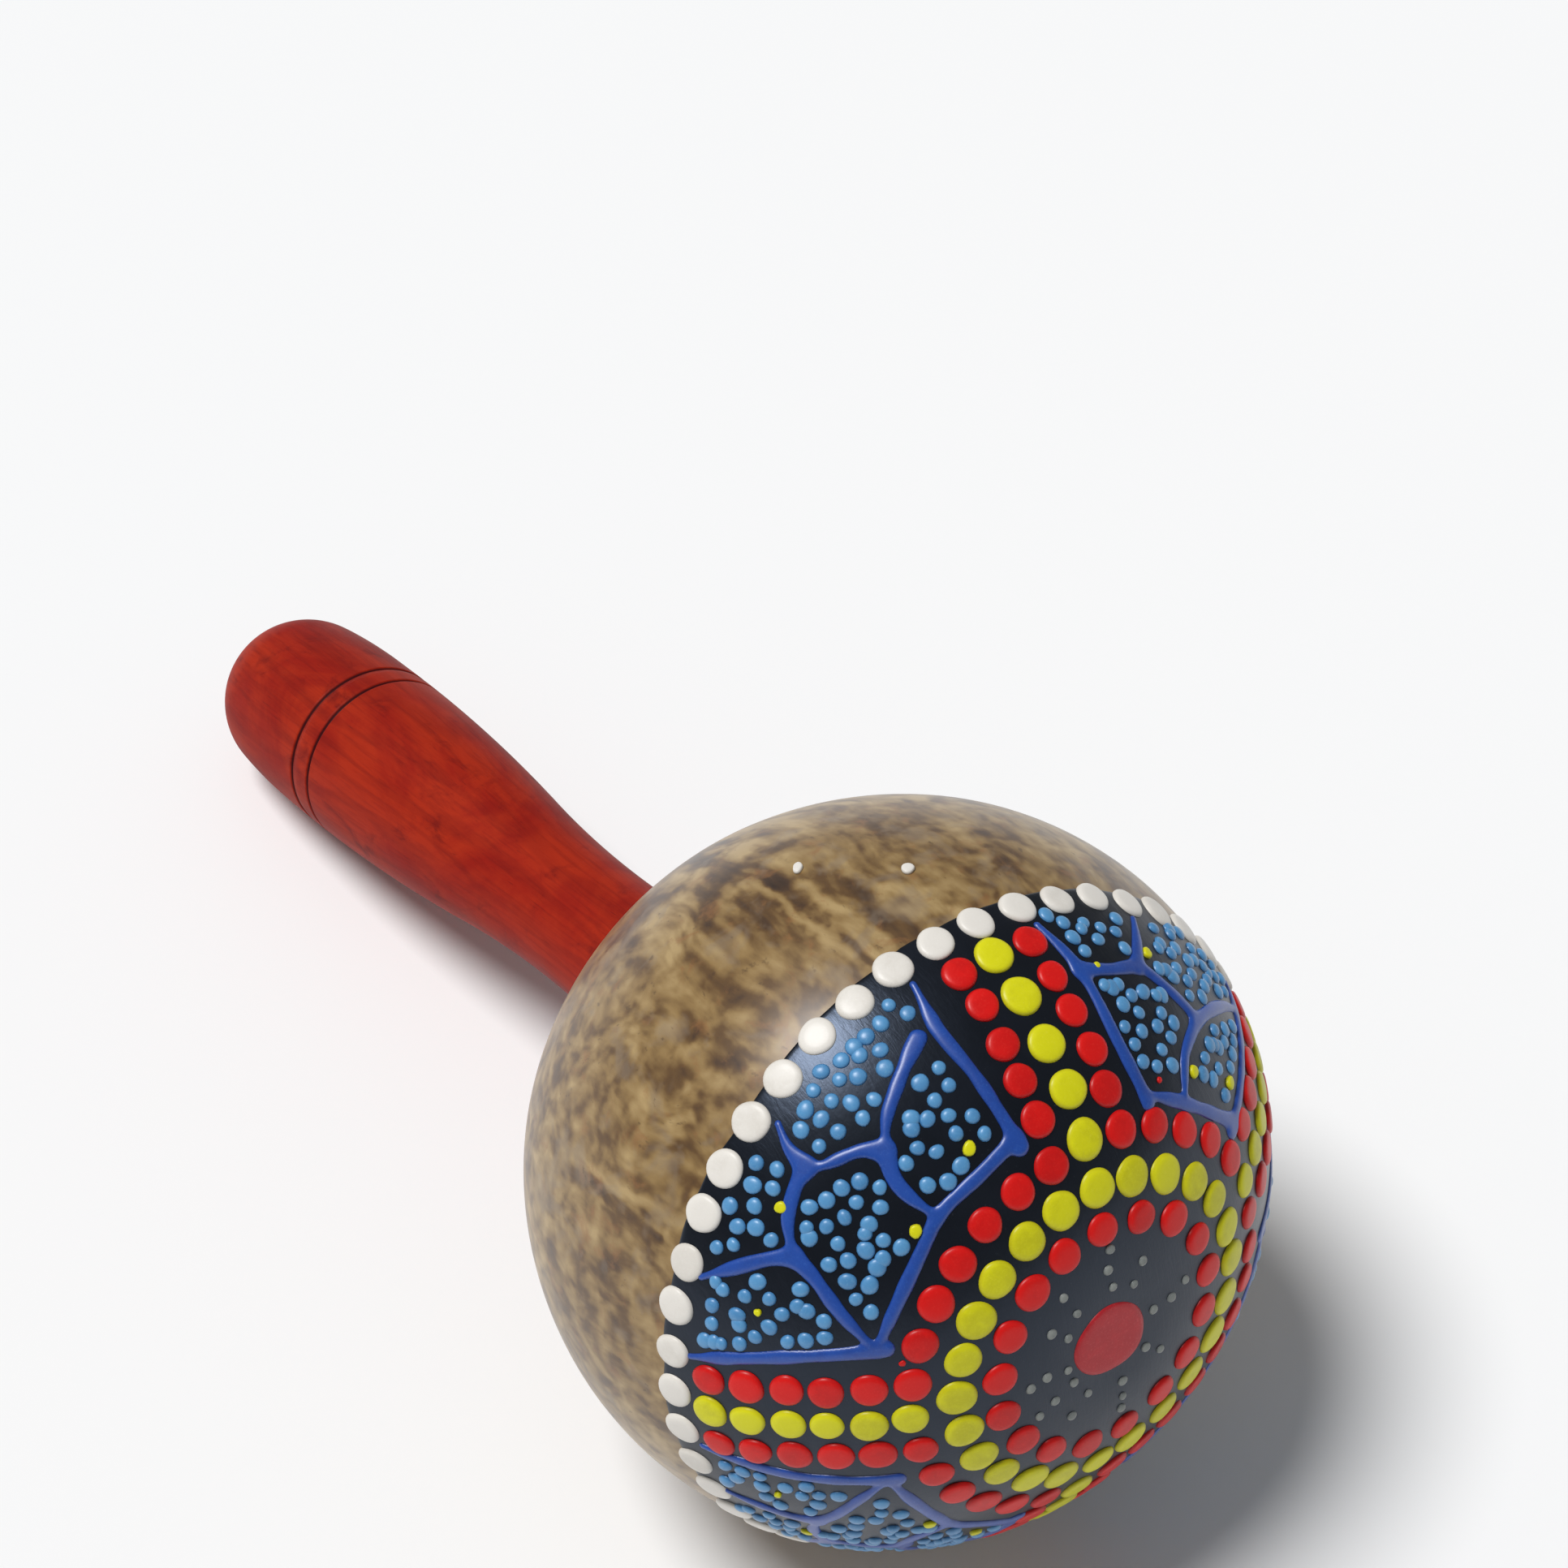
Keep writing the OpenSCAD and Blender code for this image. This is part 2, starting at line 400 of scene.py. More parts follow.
class Solid:
    """A mesh under construction in the nut's own frame."""

    def __init__(self, name: str) -> None:
        """Starts an empty mesh.

        Args:
            name: Name of the piece.
        """
        self.name = name
        self.bm = bmesh.new()
        self.rim = self.bm.verts.layers.float.new("rim")
        self.tint = self.bm.verts.layers.float.new("tint")
        self.own = self.bm.verts.layers.float_vector.new("own_place")

    def vert(self, point: Vector, rim: float = 0.0, tint: float = 0.5) -> BMVert:
        """Adds a vertex with its two values for the finish.

        Args:
            point: Its place in the nut's own frame.
            rim: How near it lies to a rim or a cut, 0 to 1.
            tint: Its share of a tint of its own, 0 to 1.

        Returns:
            The vertex.
        """
        made = self.bm.verts.new(point)
        made[self.rim], made[self.tint] = rim, tint
        return made

    def ring(self, points: Iterable[Vector], rim: float = 0.0, tint: float = 0.5) -> list[BMVert]:
        """Adds a row of vertices."""
        return [self.vert(point, rim, tint) for point in points]

    def skin(self, rings: Sequence[Sequence[BMVert]], loop: bool = False, slot: int = 0) -> None:
        """Lays faces between neighbouring rings, where a ring of one vertex is a tip.

        Args:
            rings: Rings in order, each closed round itself.
            loop: Whether the last ring joins the first.
            slot: Number of the finish that the faces take.
        """
        pairs = list(zip(rings, rings[1:])) + ([(rings[-1], rings[0])] if loop else [])
        for one, two in pairs:
            count = max(len(one), len(two))
            for i in range(count):
                j = (i + 1) % count
                corners = [one[i % len(one)], one[j % len(one)], two[j % len(two)], two[i % len(two)]]
                unique = list(dict.fromkeys(corners))
                if len(unique) > 2:
                    self.bm.faces.new(unique).material_index = slot

    def cap(self, ring: Sequence[BMVert]) -> None:
        """Closes a ring with one face."""
        self.bm.faces.new(ring)

    def piece(self, pose: Matrix, finishes: Sequence[Material], body: str = BODY) -> Object:
        """Turns the mesh into a smooth piece on a body, and keeps each vertex's own place for the finish.

        Args:
            pose: Place of the mesh in the row frame.
            finishes: Materials by slot number.
            body: Body that carries the piece.

        Returns:
            The new object.
        """
        bmesh.ops.recalc_face_normals(self.bm, faces=self.bm.faces)
        for vert in self.bm.verts:
            vert[self.own] = vert.co
        self.bm.transform(pose)
        mesh = bpy.data.meshes.new(self.name)
        self.bm.to_mesh(mesh)
        self.bm.free()
        mesh.shade_smooth()
        for finish in finishes:
            mesh.materials.append(finish)
        made = placed(self.name, mesh)
        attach(made, body)
        LOG.info("%s: %d faces on %s", self.name, len(mesh.polygons), body)
        return made


def circle(radius: float, height: float, count: int) -> list[Vector]:
    """Even points on a circle round the axis."""
    return [Vector((radius * math.cos(TAU * i / count), radius * math.sin(TAU * i / count), height))
            for i in range(count)]


def smooth_path(points: Sequence[Vector], step: float) -> list[Vector]:
    """A smooth curve through points.

    Args:
        points: Points to pass through.
        step: Rough distance between the curve's own points.

    Returns:
        The curve's points, both ends among them.
    """
    ends = [2 * points[0] - points[1], *points, 2 * points[-1] - points[-2]]
    path = [points[0]]
    for before, start, stop, after in zip(ends, ends[1:], ends[2:], ends[3:]):
        count = max(2, math.ceil((stop - start).length / step))
        for i in range(1, count + 1):
            t = i / count
            path.append(0.5 * (2 * start + (stop - before) * t
                               + (2 * before - 5 * start + 4 * stop - after) * t * t
                               + (3 * start - before - 3 * stop + after) * t * t * t))
    return path


# Finishes

class Mixture(Enum):
    """What a mix node mixes: Blender's name for it, the number of its first input and that of its output."""

    VALUES = ("FLOAT", 2, 0)
    COLOURS = ("RGBA", 6, 2)


class Patch:
    """A node tree under construction, with short calls for the nodes that the finishes use."""

    def __init__(self, tree: NodeTree) -> None:
        """Takes the tree to build in.

        Args:
            tree: A material's tree or a group's tree.
        """
        self.tree = tree

    def feed(self, socket: NodeSocket, value: object) -> None:
        """Links a socket to another, or sets its value.

        Args:
            socket: Socket of an input.
            value: A value or the socket of an output.
        """
        if isinstance(value, NodeSocket):
            self.tree.links.new(value, socket)
        else:
            socket.default_value = value

    def fill(self, sockets: Iterable[NodeSocket], values: Iterable[object]) -> None:
        """Feeds sockets in their order."""
        for socket, value in zip(sockets, values):
            self.feed(socket, value)

    def set(self, made: Node, **inputs: object) -> Node:
        """Sets or links inputs of a node by name, with _ for a space.

        Args:
            made: The node.
            inputs: A value or a socket for each input.

        Returns:
            The same node.
        """
        for name, value in inputs.items():
            self.feed(made.inputs[name.replace("_", " ")], value)
        return made

    def node(self, kind: str, **inputs: object) -> Node:
        """Adds a node of one of Blender's kinds, with its inputs by name."""
        return self.set(self.tree.nodes.new(kind), **inputs)

    def work(self, kind: str, operation: str, values: Sequence[object]) -> Node:
        """Adds a node that does a sum, a product or the like with its inputs.

        Args:
            kind: Blender's name of the node.
            operation: Blender's name of the work.
            values: A value or a socket for each input in order.

        Returns:
            The new node.
        """
        made = self.tree.nodes.new(kind)
        made.operation = operation
        self.fill(made.inputs, values)
        return made

    def vector(self, operation: str, *values: object) -> Node:
        """Simple work on places."""
        return self.work("ShaderNodeVectorMath", operation, values)

    def math(self, operation: str, *values: object) -> NodeSocket:
        """Simple work on values."""
        return self.work("ShaderNodeMath", operation, values).outputs[0]

    def plus(self, value: object, other: object, share: object) -> NodeSocket:
        """A value with a share of another added."""
        return self.math("MULTIPLY_ADD", other, share, value)

    def attribute(self, name: str, output: str = "Fac") -> NodeSocket:
        """A value or a place that the mesh carries on its vertices.

        Args:
            name: Name of the attribute.
            output: Name of the node's output.

        Returns:
            The output.
        """
        made = self.node("ShaderNodeAttribute")
        made.attribute_name = name
        return made.outputs[output]

    def place(self, shift: Sequence[float] = (0.0,) * 3) -> NodeSocket:
        """Place on the piece in its own frame, in millimetres.

        Args:
            shift: What is added to the place.

        Returns:
            The place.
        """
        own = self.attribute("own_place", "Vector")
        return self.node("ShaderNodeMapping", Vector=own, Scale=(1 / MM,) * 3,
                         Location=shift).outputs["Vector"]

    def stretch(self, vector: NodeSocket, scale: Sequence[float]) -> NodeSocket:
        """A place with its directions scaled."""
        return self.node("ShaderNodeMapping", Vector=vector, Scale=scale).outputs["Vector"]

    def noise(self, vector: NodeSocket, scale: float, detail: float = 4.0, rough: float = 0.55,
              distortion: float = 0.0) -> NodeSocket:
        """Cloudy noise from 0 to 1."""
        return self.node("ShaderNodeTexNoise", Vector=vector, Scale=scale, Detail=detail, Roughness=rough,
                         Distortion=distortion).outputs["Fac"]

    def grain(self, vector: NodeSocket, scale: Sequence[float], *kind: float) -> NodeSocket:
        """Cloudy noise that is longer one way than another."""
        return self.noise(self.stretch(vector, scale), 1.0, *kind)

    def swing(self, cloud: NodeSocket) -> NodeSocket:
        """Noise moved so that it lies about 0."""
        return self.math("SUBTRACT", cloud, 0.5)

    def drift(self, vector: NodeSocket, scale: float, reach: float) -> NodeSocket:
        """A place pushed about by a soft noise, so that what is laid on it wanders."""
        cloud = self.node("ShaderNodeTexNoise", Vector=vector, Scale=scale, Detail=1.0).outputs["Color"]
        return self.vector("MULTIPLY_ADD", cloud, (reach,) * 3, vector).outputs[0]

    def distance(self, vector: NodeSocket, point: object) -> NodeSocket:
        """Distance of a place from a point."""
        return self.vector("DISTANCE", vector, point).outputs["Value"]

    def unrolled(self, vector: NodeSocket, radius: float) -> NodeSocket:
        """A place on a round form rolled out flat.

        Args:
            vector: The place.
            radius: Radius of the form.

        Returns:
            Its way round from the top, then its height along the axis.
        """
        parts = self.node("ShaderNodeSeparateXYZ", Vector=vector).outputs
        turn = self.math("ARCTAN2", parts["Y"], self.math("MULTIPLY", parts["X"], -1.0))
        flat = self.node("ShaderNodeCombineXYZ", X=self.math("MULTIPLY", turn, radius), Y=parts["Z"])
        return flat.outputs["Vector"]

    def course(self, vector: NodeSocket, start: Place, stop: Place) -> NodeSocket:
        """Distance of a rolled-out place from the straight line between two points.

        Args:
            vector: The rolled-out place.
            start: First end of the line.
            stop: Last end of the line.

        Returns:
            The distance.
        """
        begin, end = (Vector((*point, 0.0)) for point in (start, stop))
        way = end - begin
        offset = self.vector("SUBTRACT", vector, begin).outputs[0]
        along = self.vector("DOT_PRODUCT", offset, way / way.length_squared).outputs["Value"]
        share = self.math("MINIMUM", self.math("MAXIMUM", along, 0.0), 1.0)
        return self.distance(vector, self.vector("MULTIPLY_ADD", share, way, begin).outputs[0])

    def span(self, value: object, low: object, high: object, to_low: object = 0.0,
             to_high: object = 1.0) -> NodeSocket:
        """A value carried smoothly from one span to another.

        Args:
            value: The value.
            low: Low end of its span.
            high: High end of its span.
            to_low: What the low end becomes.
            to_high: What the high end becomes.

        Returns:
            The value in the other span, held at its ends.
        """
        made = self.node("ShaderNodeMapRange", Value=value, From_Min=low, From_Max=high, To_Min=to_low,
                         To_Max=to_high)
        made.interpolation_type = "SMOOTHSTEP"
        return made.outputs["Result"]

    def blend(self, kind: Mixture, share: object, one: object, two: object) -> NodeSocket:
        """Adds a node that mixes.

        Args:
            kind: What is mixed.
            share: Share of the second.
            one: First value or colour.
            two: Second value or colour.

        Returns:
            The mixture.
        """
        made = self.tree.nodes.new("ShaderNodeMix")
        made.data_type, first, output = kind.value
        self.fill(made.inputs[:1] + made.inputs[first:first + 2], (share, one, two))
        return made.outputs[output]

    def lerp(self, share: object, one: object, two: object) -> NodeSocket:
        """Two values mixed."""
        return self.blend(Mixture.VALUES, share, one, two)

    def mix(self, share: object, one: object, two: object) -> NodeSocket:
        """Two colours mixed."""
        return self.blend(Mixture.COLOURS, share, one, two)

    def tinge(self, colour: object, other: object, mask: object, low: float, high: float,
              most: float = 1.0) -> NodeSocket:
        """A colour with another laid on, from none where a mask is low to the most where it is high."""
        return self.mix(self.span(mask, low, high, 0.0, most), colour, other)

    def ramp(self, share: NodeSocket, stops: Sequence[tuple[float, Colour]]) -> NodeSocket:
        """A colour that runs through several stops.

        Args:
            share: Value that picks the colour.
            stops: Values and their colours, from low to high.

        Returns:
            The colour.
        """
        made = self.node("ShaderNodeValToRGB", Fac=share)
        elements = made.color_ramp.elements
        while len(elements) < len(stops):
            elements.new(0.5)
        for element, (place, colour) in zip(elements, stops):
            element.position, element.color = place, colour
        return made.outputs["Color"]

    def group(self, tree: NodeTree, **inputs: object) -> Node:
        """Places a shared effect.

        Args:
            tree: Tree of the effect.
            inputs: A value or a socket for each input.

        Returns:
            The new node.
        """
        made = self.tree.nodes.new("ShaderNodeGroup")
        made.node_tree = tree
        return self.set(made, **inputs)


class Socket(Enum):
    """Kinds of socket that a shared effect can have."""

    VALUE = "NodeSocketFloat"
    COLOUR = "NodeSocketColor"
    VECTOR = "NodeSocketVector"


def new_effect(name: str, inputs: Sequence[tuple[str, Socket]],
               outputs: Sequence[tuple[str, Socket]]) -> tuple[Patch, Node, Node]:
    """Starts a shared effect as a node group.

    Args:
        name: Name of the group.
        inputs: Names and kinds of its inputs.
        outputs: Names and kinds of its outputs.

    Returns:
        The tree to build in, its input node and its output node.
    """
    tree = bpy.data.node_groups.new(name, "ShaderNodeTree")
    for way, sockets in (("INPUT", inputs), ("OUTPUT", outputs)):
        for label, kind in sockets:
            tree.interface.new_socket(name=label, in_out=way, socket_type=kind.value)
    return Patch(tree), tree.nodes.new("NodeGroupInput"), tree.nodes.new("NodeGroupOutput")


class Effects:
    """Effects that several finishes share."""

    def __init__(self) -> None:
        """Builds each effect once."""
        self.film = self.build_film()
        self.body = self.build_body()

    @staticmethod
    def build_film() -> NodeTree:
        """Brushed lacquer: an uneven gloss and a faint waviness.

        Returns:
            Tree of the effect.
        """
        patch, given, out = new_effect(
            "lacquer_film",
            [("Place", Socket.VECTOR), ("Gloss", Socket.VALUE), ("Smudge", Socket.VALUE)],
            [("Roughness", Socket.VALUE), ("Height", Socket.VALUE)])
        place = given.outputs["Place"]
        cloud = patch.swing(patch.noise(place, 0.09, 5.0, 0.6, 0.8))
        grit = patch.swing(patch.noise(place, 2.2, 3.0, 0.6))
        rough = patch.plus(given.outputs["Gloss"], patch.plus(cloud, grit, 0.35), given.outputs["Smudge"])
        patch.feed(out.inputs["Roughness"], rough)
        wave = patch.plus(patch.math("MULTIPLY", grit, 0.4), patch.noise(place, 0.9, 2.0, 0.5), 0.6)
        patch.feed(out.inputs["Height"], wave)
        return patch.tree

    @staticmethod
    def build_body() -> NodeTree:
        """Body of a thick paint: each drop a little different, thin at its rim, with faint grain and dust.

        Returns:
            Tree of the effect.
        """
        patch, given, out = new_effect(
            "paint_body",
            [("Place", Socket.VECTOR), ("Colour", Socket.COLOUR), ("Shade", Socket.COLOUR),
             ("Light", Socket.COLOUR), ("Thin", Socket.VALUE)],
            [("Colour", Socket.COLOUR), ("Height", Socket.VALUE)])
        place, own, shade, light, most = (
            given.outputs[name] for name in ("Place", "Colour", "Shade", "Light", "Thin"))
        cloud = patch.noise(place, 0.55, 4.0, 0.6, 0.6)
        grain = patch.noise(place, 3.5, 3.0, 0.65)
        depth = patch.plus(patch.math("MULTIPLY", cloud, 0.65), patch.attribute("tint"), 0.35)
        colour = patch.mix(patch.span(depth, 0.24, 0.62, 0.4, 0.0), own, shade)
        colour = patch.tinge(colour, light, grain, 0.5, 0.8, 0.4)
        thin = patch.math("MULTIPLY", patch.span(patch.attribute("rim"), 0.8, 1.0), most)
        patch.feed(out.inputs["Colour"], patch.mix(thin, colour, shade))
        patch.feed(out.inputs["Height"], patch.plus(cloud, grain, 0.3))
        return patch.tree


class Finish:
    """A material under construction: its tree, its shader and how its relief is felt."""

    def __init__(self, name: str) -> None:
        """Starts a material with a plain shader.

        Args:
            name: Name of the finish.
        """
        self.material = bpy.data.materials.new(name)
        self.material.use_nodes = True
        self.patch = Patch(self.material.node_tree)
        self.shader = self.material.node_tree.nodes["Principled BSDF"]

    def set(self, **inputs: object) -> None:
        """Sets or links inputs of the shader by name, with _ for a space."""
        self.patch.set(self.shader, **inputs)

    def relief(self, height: NodeSocket, depth: float) -> None:
        """Gives the shader a normal from a height.

        Args:
            height: Height from 0 to 1.
            depth: What a height of 1 stands for, in metres.
        """
        bump = self.patch.node("ShaderNodeBump", Height=height, Strength=1.0, Distance=depth)
        self.set(Normal=bump.outputs["Normal"])


@dataclass(frozen=True)
class Lacquer:
    """Clear satin lacquer over a finish."""

    weight: float = 0.22
    roughness: float = 0.28
    gloss: float = 0.42
    smudge: float = 0.2
    shine: float = 0.18
    tint: Colour = (1.0, 1.0, 1.0, 1.0)
    wave: float = 0.02 * MM

    def dress(self, finish: Finish, effects: Effects, place: NodeSocket, height: NodeSocket,
              share: float = 1.0) -> None:
        """Sets gloss, coat and relief on a finish.

        Args:
            finish: Finish to dress.
            effects: The shared effects.
            place: Place on the piece in millimetres.
            height: Height of what lies under the lacquer.
            share: How strongly that height is felt.
        """
        film = finish.patch.group(effects.film, Place=place, Gloss=self.gloss, Smudge=self.smudge)
        finish.set(Roughness=film.outputs["Roughness"], Specular_IOR_Level=self.shine,
                   Specular_Tint=self.tint, Coat_Weight=self.weight, Coat_Roughness=self.roughness)
        finish.relief(finish.patch.plus(film.outputs["Height"], height, share), self.wave)


@dataclass(frozen=True)
class Paint:
    """A thick paint with its own shades."""

    name: str
    colour: Colour
    shade: Colour
    light: Colour
    thin: float = 0.5
    lacquer: Lacquer = Lacquer()

    def build(self, effects: Effects) -> Material:
        """Makes the material.

        Args:
            effects: The shared effects.

        Returns:
            The new material.
        """
        finish = Finish(self.name)
        place = finish.patch.place()
        body = finish.patch.group(effects.body, Place=place, Colour=self.colour, Shade=self.shade,
                                  Light=self.light, Thin=self.thin)
        finish.set(Base_Color=body.outputs["Colour"])
        self.lacquer.dress(finish, effects, place, body.outputs["Height"])
        return finish.material


@dataclass(frozen=True)
class Bark:
    """Scraped and lacquered nut shell: blotches, a scraped scar, thick fibre strands, a painted shadow line
    beside one strand, furrows and dark pits.

    Places are in millimetres. A fibre is its two ends on the rolled-out nut, half its width and its tone. The
    dark one from (-48.8, -1.3) to (-49.8, 10.6) is a painted shadow beside the pale strand from (-48.2, -3.9).
    Tones run from 0 for black to 1 for pale.
    """

    pale: Colour = screen(176, 149, 102)
    tan: Colour = screen(142, 114, 70)
    brown: Colour = screen(100, 73, 41)
    dark: Colour = screen(70, 49, 32)
    black: Colour = screen(46, 31, 22)
    rust: Colour = screen(142, 98, 56)
    ash: Colour = screen(136, 120, 102)
    levels: tuple[float, ...] = (0.08, 0.27, 0.41, 0.55, 0.74)
    scar: Triple = (-44.0, 3.0, -9.0)
    scar_reach: Pair = (14.0, 34.0)
    # Pale and dark strands; the dark line from (-48.8, -1.3) to (-49.8, 10.6) is a painted shadow of the
    # raised pale strand beside it.
    fibres_and_shadow: tuple[tuple[Place, Place, float, float], ...] = (
        ((-1.3, -0.9), (0.3, 12.9), 2.4, 0.31), ((-9.5, -7.4), (-10.0, -0.4), 1.9, 0.33),
        ((-3.4, -13.0), (0.8, -11.4), 2.5, 0.33), ((-6.3, 8.7), (-6.0, 12.3), 1.4, 0.35),
        ((-48.8, -1.3), (-49.8, 10.6), 1.2, 0.33), ((-7.3, -9.4), (-7.2, 10.5), 1.2, 0.72),
        ((-3.7, -2.1), (-4.5, 14.0), 1.45, 0.76), ((2.9, 5.5), (7.1, 13.7), 1.6, 0.74),
        ((-48.2, -3.9), (-46.0, 13.3), 1.0, 0.73))
    sway: float = 2.2
    girth: float = 46.5
    felt: float = 1.6
    lacquer: Lacquer = Lacquer(weight=0.85, roughness=0.33, gloss=0.5, smudge=0.25, shine=0.12,
                               wave=0.03 * MM)

    def tones(self, patch: Patch, place: NodeSocket, flow: NodeSocket) -> NodeSocket:
        """Tone of the bark at each place.

        Args:
            patch: Tree to build in.
            place: Place on the nut.
            flow: The same place, pushed about a little.

        Returns:
            The tone.
        """
        mottle = patch.noise(flow, 0.36, 1.5, 0.5, 0.2)
        streak = patch.grain(flow, (0.42, 0.42, 0.19), 1.5, 0.5, 0.2)
        region = patch.noise(place, 0.06, 2.0, 0.5)
        value = patch.plus(patch.math("MULTIPLY", streak, 0.5), mottle, 0.62)
        value = patch.plus(patch.math("SUBTRACT", value, 0.185), region, 0.3)
        bent = patch.drift(place, 0.06, 9.0)
        splinter = patch.swing(patch.grain(bent, (0.2, 0.2, 0.045), 2.4, 0.5, 0.2))
        strand = patch.swing(patch.grain(bent, (0.6, 0.6, 0.08), 1.6, 0.5))
        scarred = patch.plus(patch.plus(0.47, splinter, 1.8), strand, 0.7)
        away = patch.distance(patch.drift(place, 0.07, 22.0), self.scar)
        hairy = patch.plus(value, strand, patch.span(region, 0.45, 0.65, 0.0, 0.28))
        value = patch.lerp(patch.span(away, *self.scar_reach, 0.85, 0.0), hairy, scarred)
        wander = patch.unrolled(patch.drift(place, 0.25, self.sway), self.girth)
        swell = patch.span(patch.noise(place, 0.35, 2.0, 0.5), 0.3, 0.7, 0.7, 1.5)
        # Lays each strand; one dark strand is a painted shadow beside a pale one.
        for start, stop, half, level in self.fibres_and_shadow:
            aside = patch.math("MULTIPLY", patch.course(wander, start, stop), swell)
            share = patch.span(aside, 0.1 * half, 1.3 * half, 0.78, 0.0)
            value = patch.lerp(share, value, patch.plus(level, strand, 0.6))
        fine = patch.swing(patch.grain(flow, (1.2, 1.2, 0.55), 2.0, 0.55, 0.2))
        return patch.plus(value, fine, 0.14)

    def build(self, effects: Effects) -> Material:
        """Makes the material.

        Args:
            effects: The shared effects.

        Returns:
            The new material.
        """
        finish = Finish("scraped_bark")
        patch, place = finish.patch, finish.patch.place()
        flow = patch.drift(place, 0.11, 3.2)
        tones = self.tones(patch, place, flow)
        shades = (self.black, self.dark, self.brown, self.tan, self.pale)
        colour = patch.ramp(tones, list(zip(self.levels, shades)))
        warm = patch.noise(flow, 0.3, 4.0, 0.6, 0.4)
        cool = patch.noise(place, 0.16, 3.0, 0.6, 0.4)
        pit = patch.grain(flow, (0.8, 0.8, 0.5), 3.0, 0.6)
        colour = patch.tinge(colour, self.rust, warm, 0.55, 0.72, 0.55)
        colour = patch.tinge(colour, self.ash, cool, 0.52, 0.68, 0.45)
        finish.set(Base_Color=patch.tinge(colour, self.dark, pit, 0.64, 0.74, 0.5))
        self.lacquer.dress(finish, effects, place, tones, self.felt)
        return finish.material


@dataclass(frozen=True)
class DullFinish:
    """A dull finish of two shades in soft clouds, with small bumps.

    Clouds and bumps are given as the scale, detail, roughness and distortion of a noise.
    """

    name: str
    dark: Colour
    pale: Colour
    clouds: tuple[float, ...]
    edges: Pair
    roughness: float
    bumps: tuple[float, ...]
    depth: float

    def build(self) -> Material:
        """Makes the material.

        Returns:
            The new material.
        """
        finish = Finish(self.name)
        patch, place = finish.patch, finish.patch.place()
        stops = list(zip(self.edges, (self.dark, self.pale)))
        finish.set(Base_Color=patch.ramp(patch.noise(place, *self.clouds), stops), Roughness=self.roughness)
        finish.relief(patch.noise(place, *self.bumps), self.depth)
        return finish.material


BARE_NUT = DullFinish("bare_nut", screen(84, 56, 36), screen(150, 112, 74), (0.3, 6.0, 0.65, 0.6), (0.3, 0.7),
                      0.8, (0.3, 6.0, 0.65, 0.6), 0.15 * MM)
DRIED_GLUE = DullFinish("dried_glue", screen(110, 60, 40), screen(190, 172, 150), (0.18, 4.0, 0.6, 0.6),
                        (0.4, 0.68), 0.42, (1.2, 3.0), 0.1 * MM)
SEED_COAT = DullFinish("seed_coat", screen(70, 44, 24), screen(128, 92, 58), (0.5, 5.0, 0.6, 0.5),
                       (0.32, 0.68), 0.55, (2.0, 4.0), 0.08 * MM)


@dataclass(frozen=True)
class Ground:
    """Near-black ground paint with faint brush marks under satin lacquer."""

    black: Colour = screen(5, 5, 7)
    blue: Colour = screen(12, 13, 18)
    dust: Colour = screen(52, 54, 60)
    felt: float = 1.2
    lacquer: Lacquer = Lacquer(weight=0.04, roughness=0.32, gloss=0.31, smudge=0.14, shine=0.6,
                               tint=(0.55, 0.69, 0.96, 1.0))

    def build(self, effects: Effects) -> Material:
        """Makes the material.

        Args:
            effects: The shared effects.

        Returns:
            The new material.
        """
        finish = Finish("black_ground_paint")
        patch, place = finish.patch, finish.patch.place()
        brush = patch.grain(place, (0.2, 1.6, 0.35), 4.0, 0.6, 1.0)
        cloud = patch.noise(place, 0.12, 4.0, 0.6, 0.6)
        speck = patch.noise(place, 3.2, 2.0, 0.5)
        colour = patch.tinge(self.black, self.blue, cloud, 0.35, 0.7)
        finish.set(Base_Color=patch.tinge(colour, self.dust, speck, 0.7, 0.78, 0.5))
        self.lacquer.dress(finish, effects, place, brush, self.felt)
        return finish.material


